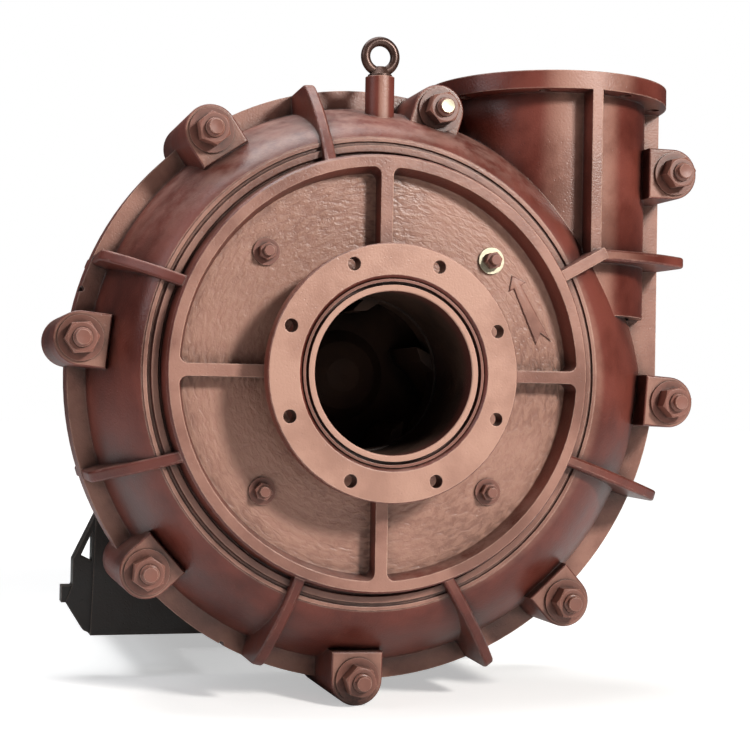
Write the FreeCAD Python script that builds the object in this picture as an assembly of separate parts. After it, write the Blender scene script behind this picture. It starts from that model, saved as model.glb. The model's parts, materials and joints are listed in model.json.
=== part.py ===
"""Horizontal slurry pump: a split volute casing with hard liners, a closed impeller, a packed gland,
and a bearing cartridge that slides on a cast base so that the impeller clearance can be set.

Frame: millimetres, +Z up. The shaft runs along Y, with suction at -Y and the drive end at +Y.
The origin is the centre of the foundation bolt pattern, on the plane of the feet.
Stations along the shaft are counted from the split plane of the casing, which holds the discharge axis:
negative towards suction, positive towards the drive. Y = SPLIT_Y + station.
"""
import FreeCAD, Part
import math
import os

from FreeCAD import Vector

# ---- driving dimensions ----
AXIS_Z = 560.0                  # shaft centre height over the feet
SPLIT_Y = -640.0                # split plane of the casing
BOLT_HOLES_Y = 325.0            # half distance between foundation holes along the shaft
BOLT_HOLES_X = 340.0            # half distance across the shaft

SUCTION_FACE = -365.0           # stations of the suction side
FLANGE_BACK = -329.0
RING_FACE = -296.0
FLOOR_FACE = -258.0
SHELL_CREST = -250.0
COVER_INSIDE = -228.0
COVER_LUG_FACE = -165.0
JOINT_FLANGE = 38.0             # thickness of each half of the joint flange
FRAME_INSIDE = 165.0            # stations of the frame-plate side
FRAME_BACK = 195.0
FRAME_LUG_FACE = 95.0
PAD_FACE = 205.0

SUCTION_FLANGE_R, SUCTION_PCD_R, FLANGE_HOLE_R = 241.5, 216.0, 12.5
THROAT_R = 152.5                # 12 inch suction bore
HUB_BORE_R, HUB_R = 175.0, 196.0
RECESS_R, RING_IN_R, RING_OUT_R = 383.0, 393.0, 413.0
PLATEAU_R = 456.0               # circle where the shell meets the stepped rim
SHELL_INSET, WALL = 33.0, 28.0  # joint flange width, and casing wall

# Volute outline seen from suction: (centre x, centre z, radius) of the joint flange edge, by quarter turn
# from the top, anticlockwise: top to left, left to bottom, bottom to right.
VOLUTE_ARCS = ((21.0, -8.0, 592.0), (43.0, -8.0, 614.0), (43.0, 26.0, 648.0))
RIGHT_EDGE = VOLUTE_ARCS[2][0] + VOLUTE_ARCS[2][2]

DISCHARGE_X, DISCHARGE_R = 440.0, 127.0     # 10 inch discharge bore
DISCHARGE_FACE, DISCHARGE_FLANGE_T = 612.0, 36.0
DISCHARGE_FLANGE_R, DISCHARGE_PCD_R = 256.0, 230.0
NECK_R, NECK_BORE_R, NECK_LINER_R = 212.0, 184.0, 173.0
THROAT_Z, THROAT_FLARE_R = 430.0, (129.0, 137.0)   # where the discharge bore opens out, going down

CASING_BOLT_R, LUG_R, LUG_INWARD, SPOT_FACE_R = 19.0, 52.0, 55.0, 45.0
# (x, z, direction of the lug in degrees), seen from suction
CASING_BOLTS = (
    (-559.0, 57.0, 174.0), (-425.0, -385.0, 222.0), (-5.0, -600.0, 269.0), (433.0, -452.0, 312.0),
    (660.0, -44.0, 356.0), (662.0, 430.0, 0.0), (146.0, 531.0, 73.0), (-316.0, 463.0, 124.0),
)
# (place on the rim and heading in degrees, seen from suction, and how far the tip passes the casing edge)
CASING_RIBS = ((105.5, 93.0, 3.0), (157.0, 158.0, -3.0), (203.0, 197.0, -3.0), (248.0, 256.0, 0.0),
               (289.0, 307.0, 8.0), (337.0, 343.0, 14.0))
RIB_T, RIB_ROUND, TIP_ROUND = 22.0, 5.0, 40.0
LEVEL_RIB_Z, CROSS_RIB_T = 247.0, 24.0
JACKING_HOLES = ((-546.0, 158.0), (-252.0, -545.0), (660.0, -190.0))
EYE_X, EYE_T, EYE_PAD_R, EYE_PAD_TOP = 27.0, -145.0, 29.0, 592.0   # pad of the lifting eyebolt
FRONT_STUD_R, BACK_STUD_R = 318.0, 262.0    # radii of the liner studs

IMPELLER_R, EYE_R, HUB_NOSE_R = 381.0, 149.0, 95.0
EYE_FACE, EYE_RIM_R, SHROUD_RIM = -150.0, 178.0, -98.0   # front shroud: eye face, and its edge at the tip
SHROUD_T, BACK_SHROUD = 24.0, 60.0                       # thickness, and station of the back shroud
RUNNING_GAP, BOSS_END = 3.0, 98.0                        # impeller eye to throatbush; end of the boss
SLEEVE_R, PACKING_R = 78.0, 103.0
BEARING_T = ((540.0, 620.0), (1000.0, 1080.0))  # stations of the two roller bearings
INNER_RACE_R, OUTER_RACE_R, ROLLER_R, ROLLER_COUNT = 95.0, 120.0, 12.2, 14
HOUSING_FRONT, HOUSING_BACK = 490.0, 1130.0
HOUSING_R, BAND_R = 178.0, 196.0
SHAFT_END = 1430.0
SHAFT_END_R = 60.0
BASE_BACK = 1090.0

PARTS = {}


# ---- helpers ----
def at(x, t, z):
    """Point in the frame from shaft-centred x, station t and height z over the shaft."""
    return Vector(x, SPLIT_Y + t, AXIS_Z + z)


def rod(r, t0, t1, x=0.0, z=0.0):
    """Cylinder along the shaft direction between two stations."""
    return Part.makeCylinder(r, t1 - t0, at(x, t0, z), Vector(0, 1, 0))


def tube(r_out, r_in, t0, t1, x=0.0, z=0.0):
    return rod(r_out, t0, t1, x, z).cut(rod(r_in, t0 - 1, t1 + 1, x, z))


def post(r, z0, z1, x, t):
    """Vertical cylinder."""
    return Part.makeCylinder(r, z1 - z0, at(x, t, z0), Vector(0, 0, 1))


def block(x0, x1, t0, t1, z0, z1):
    return Part.makeBox(x1 - x0, t1 - t0, z1 - z0, at(x0, t0, z0))


def turned(profile):
    """Solid of revolution about the shaft from (radius, station) corners."""
    points = [at(r, t, 0) for r, t in profile]
    face = Part.Face(Part.makePolygon(points + points[:1]))
    return face.revolve(at(0, 0, 0), Vector(0, 1, 0), 360)


def plate(outline, t0, t1):
    """Flat plate across the shaft from (x, z) corners."""
    points = [at(x, t0, z) for x, z in outline]
    face = Part.Face(Part.makePolygon(points + points[:1]))
    return face.extrude(Vector(0, t1 - t0, 0))


def side_plate(outline, x0, x1):
    """Flat plate along the shaft from (station, z) corners."""
    points = [at(x0, t, z) for t, z in outline]
    face = Part.Face(Part.makePolygon(points + points[:1]))
    return face.extrude(Vector(x1 - x0, 0, 0))


def spun(shape, degrees, x=0.0, z=0.0):
    """Copy turned about an axis along the shaft, anticlockwise seen from suction."""
    copy = shape.copy()
    copy.rotate(at(x, 0, z), Vector(0, -1, 0), degrees)
    return copy


def polar(r, degrees):
    a = math.radians(degrees)
    return r * math.cos(a), r * math.sin(a)


def fused(shapes):
    first, rest = shapes[0], shapes[1:]
    return first.multiFuse(rest) if rest else first


def hexagon(x, t, z, across, turn=0.0):
    """Hexagonal face across the shaft direction."""
    r = across / math.sqrt(3)
    spots = [polar(r, 60 * i + turn) for i in range(7)]
    return Part.Face(Part.makePolygon([at(x + dx, t, z + dz) for dx, dz in spots]))


def hex_nut(across, r_hole, t0, t1, x, z, turn=0.0):
    """Hexagonal nut or head from t0 to t1, with its corners taken off in a cone at t1."""
    height, way = abs(t1 - t0), Vector(0, math.copysign(1, t1 - t0), 0)
    prism = hexagon(x, t0, z, across, turn).extrude(way * height)
    spread, rim_r = height * math.tan(math.radians(60)), 0.475 * across
    cone = Part.makeCone(rim_r + spread, rim_r, height, at(x, t0, z), way)
    nut = prism.common(cone)
    return nut.cut(rod(r_hole, min(t0, t1) - 1, max(t0, t1) + 1, x, z)) if r_hole else nut


def group(shapes):
    return Part.makeCompound(shapes)


def add(name, shape):
    PARTS[name] = shape.removeSplitter() if len(shape.Solids) == 1 else shape


# ---- volute form ----
def volute_wire(inset, share, rim_r, t):
    """Closed outline of the volute at a station. share runs from 0, the joint flange edge less the
    inset, to 1, a circle of rim_r about the shaft. The last arc closes the spiral behind the neck."""
    arcs = [(x * (1 - share), z * (1 - share), (r - inset) * (1 - share) + rim_r * share)
            for x, z, r in VOLUTE_ARCS]
    top = (arcs[0][0], arcs[0][1] + arcs[0][2])
    right = (arcs[2][0] + arcs[2][2], arcs[2][1])
    dx, dz = right[0] - top[0], top[1] - right[1]
    closing_r = (dx * dx + dz * dz) / (2 * dz)
    closing = (top[0], top[1] - closing_r, closing_r)
    ends = math.degrees(math.atan2(right[1] - closing[1], dx))
    spans = [(90, 180), (180, 270), (270, 360), (ends, 90)]
    edges = []
    for (cx, cz, r), (a0, a1) in zip(arcs + [closing], spans):
        p = [at(cx + r * math.cos(math.radians(a)), t, cz + r * math.sin(math.radians(a)))
             for a in (a0, (a0 + a1) / 2, a1)]
        edges.append(Part.Arc(*p).toShape())
    return Part.Wire(edges)


def volute_solid(inset, rim_r, depth, bulge=1.45, levels=6):
    """Half of the volute, from the split plane to station depth. Its side curves in as a superellipse
    from the outline less the inset to the rim circle."""
    wires = []
    for i in range(levels):
        angle = math.pi / 2 * i / (levels - 1)
        run = 1 - math.cos(angle) ** (2 / bulge)
        rise = math.sin(angle) ** (2 / bulge)
        wires.append(volute_wire(inset, run, rim_r, depth * rise))
    return Part.makeLoft(wires, True, False)


def neck(r, way, z0=130.0, z1=DISCHARGE_FACE):
    """Half of the discharge neck on one side of the split plane; way is -1 for suction."""
    far = r + 5
    half = block(DISCHARGE_X - far, DISCHARGE_X + far, min(0, way * far), max(0, way * far), z0, z1)
    return post(r, z0, z1, DISCHARGE_X, 0).common(half)


def lug(x, z, direction, t_face):
    """Bolt lug: a square pillar with a round outer end, pointing away from the shaft."""
    t0, t1 = min(0, t_face), max(0, t_face)
    pillar = block(x - LUG_INWARD, x, t0, t1, z - LUG_R, z + LUG_R)
    whole = fused([rod(LUG_R, t0, t1, x, z), spun(pillar, direction, x, z)]).removeSplitter()
    face_y = SPLIT_Y + t_face
    rim = [e for e in whole.Edges if all(abs(v.Y - face_y) < 0.01 for v in e.Vertexes)]
    return whole.makeFillet(4.0, rim)


def casing_rib(place, heading, proud, t_root, t_tip, root_r=402.0):
    """Rib over the shell: its crest runs in a shallow arc from the rim to a rounded tip at the joint edge."""
    x0, z0 = polar(root_r, place)
    ux, uz = polar(1, heading)
    edge = outline_face()
    reach = next(d for d in range(90, 400) if not edge.isInside(at(x0 + ux * d, 0, z0 + uz * d), 0.1, True))
    way = math.copysign(1, t_tip)
    tip, foot = (reach + proud, t_tip), (reach + min(proud, -1), way * 22)
    rib = fin([(0, t_root), (reach / 2, (t_root + t_tip) / 2 + way * 20), tip],
              [tip, foot, (70, way * 22), (0, 0.6 * t_tip), (0, t_root)])
    return spun(rib, heading).translated(Vector(x0, 0, z0))


def fin(crest, rest):
    """Rib in the plane across Z, from (distance, station) places: an arc through the three crest places,
    then straight lines. The tip and both edges of the crest are rounded."""
    p = [at(x, t, 0) for x, t in crest]
    lines = [at(x, t, 0) for x, t in rest]
    edges = [Part.Arc(*p).toShape()] + [Part.makeLine(a, b) for a, b in zip(lines, lines[1:])]
    face = Part.Face(Part.Wire(edges))
    face.translate(Vector(0, 0, -RIB_T / 2))
    rib = face.extrude(Vector(0, 0, RIB_T))
    rib = rib.makeFillet(TIP_ROUND, [e for e in rib.Edges if on_line(e, p[2])])
    crest_side = [e for e in rib.Edges if type(e.Curve).__name__ == "Circle" and e.Curve.Radius > 100
                  and abs(e.Curve.Axis.z) > 0.9]
    return rib.makeFillet(RIB_ROUND, crest_side)


def on_line(e, p):
    """Whether an edge runs up through the point p."""
    return all(abs(v.X - p.x) < 0.01 and abs(v.Y - p.y) < 0.01 for v in e.Vertexes)


_outline = []


def outline_face():
    if not _outline:
        _outline.append(Part.Face(volute_wire(0, 0, 1, 0)))
    return _outline[0]


def joint_flange(way):
    """Flange round the split plane, with the straight run beside the discharge neck."""
    t = way * JOINT_FLANGE
    spiral = Part.Face(volute_wire(0, 0, 1, 0)).extrude(Vector(0, t, 0))
    run = block(DISCHARGE_X - NECK_R - 20, RIGHT_EDGE, min(0, t), max(0, t), 0, DISCHARGE_FACE - 10)
    return fused([spiral, run])


def discharge_flange(way):
    z0 = DISCHARGE_FACE - DISCHARGE_FLANGE_T
    return neck(DISCHARGE_FLANGE_R, way, z0)


def flange_holes(shape):
    """Bolt holes of the discharge flange."""
    for i in range(8):
        a = 22.5 + 45 * i
        dx, dt = polar(DISCHARGE_PCD_R, a)
        shape = shape.cut(post(FLANGE_HOLE_R, DISCHARGE_FACE - 60, DISCHARGE_FACE + 1, DISCHARGE_X + dx, dt))
    return shape


def casing_cavity(way, depth):
    """Space inside one half of the casing: the volute, the flat side and the neck bore."""
    shell = volute_solid(SHELL_INSET + WALL, PLATEAU_R - WALL, depth)
    flat = rod(PLATEAU_R - WALL, min(0, depth), max(0, depth))
    return fused([shell, flat, neck(NECK_BORE_R, way, 40, DISCHARGE_FACE + 5)])


# ---- casing halves ----
def recess_pockets():
    """The four pockets of the recess: between hub and rim, parted by the cross ribs, with round corners."""
    ring = turned([(HUB_R, RING_FACE - 1), (RING_IN_R, RING_FACE - 1), (RECESS_R, FLOOR_FACE), (HUB_R, FLOOR_FACE)])
    bars = [block(-500, 500, RING_FACE - 2, FLOOR_FACE + 1, -CROSS_RIB_T / 2, CROSS_RIB_T / 2)]
    bars.append(spun(bars[0], 90))
    pockets = []
    for solid in ring.cut(fused(bars)).Solids:
        corners = [e for e in solid.Edges if abs(e.Vertexes[0].Y - e.Vertexes[-1].Y) > 30]
        pockets.append(solid.makeFillet(15.0, corners))
    return pockets


def cover_plate():
    shell = volute_solid(SHELL_INSET, PLATEAU_R, SHELL_CREST)
    rim = turned([(0, 0), (PLATEAU_R, 0), (PLATEAU_R, SHELL_CREST + 4), (PLATEAU_R - 3, SHELL_CREST - 4),
                  (446, SHELL_CREST - 4), (444, SHELL_CREST + 1), (440, SHELL_CREST + 1),
                  (438, SHELL_CREST - 9), (426, SHELL_CREST - 9), (423, SHELL_CREST - 1),
                  (RING_OUT_R + 8, SHELL_CREST - 1), (RING_OUT_R + 3, RING_FACE + 6),
                  (RING_OUT_R - 1, RING_FACE), (0, RING_FACE)])
    hub = turned([(0, RING_FACE + 5), (HUB_R, RING_FACE + 5), (HUB_R, FLANGE_BACK),
                  (SUCTION_FLANGE_R - 2, FLANGE_BACK), (SUCTION_FLANGE_R, FLANGE_BACK - 2),
                  (SUCTION_FLANGE_R, SUCTION_FACE + 2), (SUCTION_FLANGE_R - 2, SUCTION_FACE),
                  (0, SUCTION_FACE)])
    body = fused([shell, rim, hub, joint_flange(-1), neck(NECK_R, -1), discharge_flange(-1)])
    body = body.cut(recess_pockets())
    ribs = [casing_rib(*rib, RING_FACE + 3, -140.0) for rib in CASING_RIBS]
    ribs += turning_rib()
    lugs = [lug(x, z, a, COVER_LUG_FACE) for x, z, a in CASING_BOLTS]
    pad = post(EYE_PAD_R, 470, EYE_PAD_TOP, EYE_X, EYE_T)
    body = body.multiFuse(ribs + lugs + [pad])
    body = body.cut(casing_cavity(-1, COVER_INSIDE))
    body = body.cut(turned([(0, 1), (HUB_BORE_R, 1), (HUB_BORE_R, SUCTION_FACE + 9),
                            (HUB_BORE_R + 8.5, SUCTION_FACE - 1), (0, SUCTION_FACE - 1)]))
    for i in range(8):
        x, z = polar(SUCTION_PCD_R, 22.5 + 45 * i)
        body = body.cut(rod(FLANGE_HOLE_R, SUCTION_FACE - 1, FLANGE_BACK + 1, x, z))
    for x, z, _ in CASING_BOLTS:
        body = body.cut(rod(CASING_BOLT_R + 1.5, COVER_LUG_FACE - 1, 1, x, z))
        body = body.cut(rod(SPOT_FACE_R, COVER_LUG_FACE - 70, COVER_LUG_FACE, x, z))
    for i in range(4):
        x, z = polar(FRONT_STUD_R, 45 + 90 * i)
        body = body.cut(rod(11, FLOOR_FACE - 1, COVER_INSIDE + 1, x, z))
    for x, z in JACKING_HOLES:
        body = body.cut(rod(5.5, -JOINT_FLANGE - 1, 1, x, z))
    body = flange_holes(body)
    return body.cut(post(12.2, 545, EYE_PAD_TOP + 1, EYE_X, EYE_T))


def turning_rib():
    """The rib that leaves the rim, turns level and ends past the casing edge, and the upright rib of the
    neck that stands on it."""
    half, tip_t = RIB_T / 2, -152.0
    knee, tip = (452.0, -262.0), RIGHT_EDGE + 8.0
    level = fin([knee, (585, -224), (tip, tip_t)],
                [(tip, tip_t), (RIGHT_EDGE, -22), (knee[0], -60), knee]).translated(Vector(0, 0, LEVEL_RIB_Z))
    x0, z0 = polar(RING_OUT_R - 12, 28.5)
    dx, dz = knee[0] - x0, LEVEL_RIB_Z - z0
    ramp = block(0, math.hypot(dx, dz) + 4, -290, -120, -half, half)
    ramp = spun(ramp, math.degrees(math.atan2(dz, dx))).translated(Vector(x0, 0, z0))
    upright = block(DISCHARGE_X + 8 - half, DISCHARGE_X + 8 + half, -NECK_R - 44, -150, LEVEL_RIB_Z,
                    DISCHARGE_FACE - DISCHARGE_FLANGE_T + 4)
    return [level, ramp, upright]


def frame_plate():
    shell = volute_solid(SHELL_INSET, PLATEAU_R, FRAME_BACK)
    back = turned([(0, 0), (PLATEAU_R, 0), (PLATEAU_R, FRAME_BACK - 4), (PLATEAU_R - 4, FRAME_BACK),
                   (402, FRAME_BACK), (400, PAD_FACE), (0, PAD_FACE)])
    body = fused([shell, back, joint_flange(1), neck(NECK_R, 1), discharge_flange(1)])
    ribs = [casing_rib(*rib, FRAME_BACK + 3, 110.0) for rib in CASING_RIBS]
    lugs = [lug(x, z, a, FRAME_LUG_FACE) for x, z, a in CASING_BOLTS]
    upright = block(DISCHARGE_X - 13, DISCHARGE_X + 13, 150, 238, 200,
                    DISCHARGE_FACE - DISCHARGE_FLANGE_T + 4)
    body = body.multiFuse(ribs + lugs + [upright])
    body = body.cut(casing_cavity(1, FRAME_INSIDE))
    body = body.cut(rod(200.0, -1, PAD_FACE + 1))
    for x, z, _ in CASING_BOLTS:
        body = body.cut(rod(CASING_BOLT_R + 1.5, -1, FRAME_LUG_FACE + 1, x, z))
        body = body.cut(rod(SPOT_FACE_R, FRAME_LUG_FACE, FRAME_LUG_FACE + 70, x, z))
    for i in range(4):
        x, z = polar(BACK_STUD_R, 45 + 90 * i)
        body = body.cut(rod(11, FRAME_INSIDE - 1, PAD_FACE + 1, x, z))
    for i in range(8):
        x, z = polar(350, 22.5 + 45 * i)
        body = body.cut(rod(12, FRAME_INSIDE + 8, PAD_FACE + 1, x, z))
    return flange_holes(body)


# ---- liners and seals ----
LINER_GAP, LINER_WALL, SIDE_OPENING_R = 4.0, 44.0, 402.0
BACK_FACE = 106.0
CHEEK_R, SIDE_FACE = 440.0, -104.0   # the liner thickens from this circle to the throatbush


def volute_liner():
    inset = SHELL_INSET + WALL + LINER_GAP
    rim = PLATEAU_R - WALL - LINER_GAP
    outer = fused([
        volute_solid(inset, rim, COVER_INSIDE), rod(rim, COVER_INSIDE, FRAME_INSIDE),
        volute_solid(inset, rim, FRAME_INSIDE), neck(NECK_LINER_R, -1, 60, DISCHARGE_FACE - 6),
        neck(NECK_LINER_R, 1, 60, DISCHARGE_FACE - 6)])
    wall = inset + LINER_WALL
    front, back = -170.0, FRAME_INSIDE - LINER_WALL
    cheek = turned([(SIDE_OPENING_R, SIDE_FACE), (SIDE_OPENING_R, front - 4), (CHEEK_R + 2, front - 4)])
    inner = fused([
        volute_solid(wall, CHEEK_R, front, 1.8).cut(cheek),
        volute_solid(wall, SIDE_OPENING_R - 10, back, 1.8),
        post(DISCHARGE_R, THROAT_Z - 1, DISCHARGE_FACE, DISCHARGE_X, 0),
        Part.makeCone(THROAT_FLARE_R[1], THROAT_FLARE_R[0], THROAT_Z - 60, at(DISCHARGE_X, 0, 60), Vector(0, 0, 1)),
        rod(SIDE_OPENING_R, COVER_INSIDE - 1, FRAME_INSIDE + 1)])
    return outer.cut(inner)


def throatbush():
    """Front wear liner: a conical disc with the suction spigot that shows inside the flange. Its back is
    cored out on both sides of the ring that takes the studs."""
    face, seat = SUCTION_FACE + 5, EYE_FACE - RUNNING_GAP
    slope = (SHROUD_RIM - EYE_FACE) / (IMPELLER_R - EYE_RIM_R)
    body = turned([(THROAT_R, seat), (THROAT_R, face + 2), (THROAT_R + 2, face), (164, face),
                   (164, SUCTION_FACE + 62), (HUB_BORE_R - 1, SUCTION_FACE + 62),
                   (HUB_BORE_R - 1, COVER_INSIDE), (SIDE_OPENING_R - 2, COVER_INSIDE),
                   (SIDE_OPENING_R - 2, seat + slope * (SIDE_OPENING_R - 2 - EYE_RIM_R - 10)),
                   (EYE_RIM_R + 10, seat)])
    for r_in, r_out in ((210, 292), (344, 386)):
        body = body.cut(turned([(r_in, COVER_INSIDE - 1), (r_out, COVER_INSIDE - 1),
                                (r_out - 8, COVER_INSIDE + 44), (r_in + 8, COVER_INSIDE + 44)]))
    for i in range(4):
        x, z = polar(FRONT_STUD_R, 45 + 90 * i)
        body = body.cut(rod(10, COVER_INSIDE - 1, COVER_INSIDE + 28, x, z))
    return body


def back_liner():
    """Back wear liner: the flat disc behind the impeller, round the stuffing box."""
    body = turned([(112, BACK_FACE), (112, FRAME_INSIDE), (SIDE_OPENING_R - 2, FRAME_INSIDE),
                   (SIDE_OPENING_R - 2, BACK_FACE + 14), (372, BACK_FACE)])
    for i in range(4):
        x, z = polar(BACK_STUD_R, 45 + 90 * i)
        body = body.cut(rod(10, FRAME_INSIDE - 28, FRAME_INSIDE + 1, x, z))
    return body


def liner_studs(radius, t_hole, t_end):
    return [rod(10, min(t_hole, t_end), max(t_hole, t_end), *polar(radius, 45 + 90 * i)) for i in range(4)]


def liner_nuts(radius, t0, t1):
    return [hex_nut(30, 10, t0, t1, *polar(radius, 45 + 90 * i), turn=12 + 17 * i) for i in range(4)]


def casing():
    add("cover_plate", cover_plate())
    add("frame_plate", frame_plate())
    add("volute_liner", volute_liner())
    add("throatbush", throatbush())
    add("back_liner", back_liner())
    add("suction_joint_ring", turned([(164, SUCTION_FACE + 20), (170, SUCTION_FACE + 20),
                                      (170, SUCTION_FACE + 4), (175, SUCTION_FACE + 4),
                                      (175, SUCTION_FACE + 62), (164, SUCTION_FACE + 62)]))
    ring = post(NECK_BORE_R, DISCHARGE_FACE - 44, DISCHARGE_FACE - 4, DISCHARGE_X, 0)
    add("discharge_joint_ring",
        ring.cut(post(NECK_LINER_R, DISCHARGE_FACE - 45, DISCHARGE_FACE, DISCHARGE_X, 0)))
    head, nut_t, washer_t, spare = 25.0, 32.0, 6.0, 17.0
    nut_seat = COVER_LUG_FACE - washer_t
    add("casing_bolts", group([
        rod(CASING_BOLT_R, nut_seat - nut_t - spare, FRAME_LUG_FACE, x, z)
        .fuse(hex_nut(57, 0, FRAME_LUG_FACE, FRAME_LUG_FACE + head, x, z, turn=a)).removeSplitter()
        for x, z, a in CASING_BOLTS]))
    add("casing_washers", group([
        tube(44, CASING_BOLT_R, nut_seat, COVER_LUG_FACE, x, z) for x, z, _ in CASING_BOLTS]))
    add("casing_nuts", group([
        hex_nut(57, CASING_BOLT_R, nut_seat, nut_seat - nut_t, x, z, turn=a * 1.7 + 9)
        for x, z, a in CASING_BOLTS]))
    add("front_liner_studs", group(liner_studs(FRONT_STUD_R, COVER_INSIDE + 26, FLOOR_FACE - 32)))
    add("front_liner_washers", group([
        tube(26, 10, FLOOR_FACE - 5, FLOOR_FACE, *polar(FRONT_STUD_R, 45 + 90 * i)) for i in range(4)]))
    add("front_liner_nuts", group(liner_nuts(FRONT_STUD_R, FLOOR_FACE - 5, FLOOR_FACE - 21)))
    add("back_liner_studs", group(liner_studs(BACK_STUD_R, FRAME_INSIDE - 26, PAD_FACE + 30)))
    add("back_liner_nuts", group(liner_nuts(BACK_STUD_R, PAD_FACE, PAD_FACE + 16)))
    eye = Part.makeTorus(30.5, 9.5, at(EYE_X, EYE_T, EYE_PAD_TOP + 42), Vector(0, 1, 0))
    collar = Part.makeCone(22, 12, 16, at(EYE_X, EYE_T, EYE_PAD_TOP + 5), Vector(0, 0, 1))
    shank = fused([post(12, 550, EYE_PAD_TOP + 18, EYE_X, EYE_T),
                   post(24, EYE_PAD_TOP, EYE_PAD_TOP + 5, EYE_X, EYE_T), collar])
    add("lifting_eyebolt", eye.fuse(shank))


# ---- stuffing box and gland ----
BOX_END, LANTERN_END, WATER_T = 335.0, 238.0, 228.0
GLAND_STUD_X = 138.0


def stuffing():
    box = turned([(110, 112), (110, 176), (PACKING_R, 176), (PACKING_R, BOX_END), (160, BOX_END),
                  (160, BOX_END - 24), (128, BOX_END - 30), (128, 214), (199, 206), (199, FRAME_INSIDE),
                  (111, FRAME_INSIDE), (111, 112)])
    for way in (-1, 1):
        box = box.cut(rod(9, BOX_END - 30, BOX_END + 1, way * GLAND_STUD_X))
    box = box.cut(post(8, 90, 140, 0, WATER_T))
    add("stuffing_box", box)
    lantern = tube(PACKING_R, SLEEVE_R + 0.5, 176, LANTERN_END).cut(
        turned([(PACKING_R - 7, WATER_T - 7), (PACKING_R + 1, WATER_T - 7), (PACKING_R + 1, WATER_T + 7),
                (PACKING_R - 7, WATER_T + 7)]))
    add("lantern_restrictor", lantern)
    add("packing_rings", group([
        tube(PACKING_R, SLEEVE_R + 0.3, LANTERN_END + 19.5 * i, LANTERN_END + 19.3 + 19.5 * i) for i in range(4)]))
    nipple = fused([post(8, 106, 152, 0, WATER_T), post(13, 130, 148, 0, WATER_T)])
    add("sealing_water_fitting", nipple.cut(post(5.9, 105, 153, 0, WATER_T)))
    add("gland_studs", group([rod(9, BOX_END - 30, BOX_END + 78, way * GLAND_STUD_X) for way in (-1, 1)]))
    ring = turned([(SLEEVE_R + 1.2, BOX_END - 18), (PACKING_R - 0.6, BOX_END - 18),
                   (PACKING_R - 0.6, BOX_END + 6), (122, BOX_END + 6), (122, BOX_END + 30),
                   (SLEEVE_R + 1.2, BOX_END + 30)])
    ear = block(100, GLAND_STUD_X, BOX_END + 6, BOX_END + 30, -28, 28)
    ear = ear.fuse(rod(28, BOX_END + 6, BOX_END + 30, GLAND_STUD_X)).cut(
        rod(SLEEVE_R + 6, BOX_END, BOX_END + 40))
    tabs = [block(-24, 24, BOX_END + 6, BOX_END + 30, s - 16, s + 16) for s in (130, -130)]
    whole = fused([ring, ear, spun(ear, 180)] + tabs)
    for way in (-1, 1):
        whole = whole.cut(rod(10, BOX_END, BOX_END + 40, way * GLAND_STUD_X))
        whole = whole.cut(Part.makeCylinder(6.2, 80, at(-40, BOX_END + 18, way * 132), Vector(1, 0, 0)))
    joint = 0.4
    add("gland_half_left", whole.common(block(-200, -joint, BOX_END - 20, BOX_END + 40, -200, 200)))
    add("gland_half_right", whole.common(block(joint, 200, BOX_END - 20, BOX_END + 40, -200, 200)))
    clamps = []
    for z in (132, -132):
        bolt = Part.makeCylinder(6, 66, at(-32, BOX_END + 18, z), Vector(1, 0, 0))
        for x in (-32, 24):
            head = Part.Face(Part.makePolygon([
                at(x, BOX_END + 18 + 10.4 * math.cos(math.radians(60 * i)),
                   z + 10.4 * math.sin(math.radians(60 * i))) for i in range(7)]))
            bolt = bolt.fuse(head.extrude(Vector(8, 0, 0)))
        clamps.append(bolt.removeSplitter())
    add("gland_clamp_bolts", group(clamps))
    for name, way in (("gland_nut_left", -1), ("gland_nut_right", 1)):
        add(name, hex_nut(27, 9.3, BOX_END + 30.3, BOX_END + 45, way * GLAND_STUD_X, 0))


# ---- rotor ----
def vane(turn):
    """One backswept vane between the shrouds, a crescent swept round a third of a turn."""
    inner_r, outer_r, sweep, steps = 128.0, IMPELLER_R - 2, 112.0, 5
    lead, trail = [], []
    for i in range(steps):
        share = i / (steps - 1)
        r = inner_r + (outer_r - inner_r) * share
        a = turn - sweep * share
        half = math.degrees((15 + 9 * math.sin(math.pi * share)) / r)
        for side, angle in ((lead, a + half), (trail, a - half)):
            x, z = polar(r, angle)
            side.append(at(x, EYE_FACE, z))
    front, back = Part.BSplineCurve(), Part.BSplineCurve()
    front.interpolate(lead)
    back.interpolate(trail[::-1])
    wire = Part.Wire([front.toShape(), Part.makeLine(lead[-1], trail[-1]), back.toShape(),
                      Part.makeLine(trail[0], lead[0])])
    return Part.Face(wire).extrude(Vector(0, BACK_SHROUD + 20 - EYE_FACE, 0))


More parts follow.
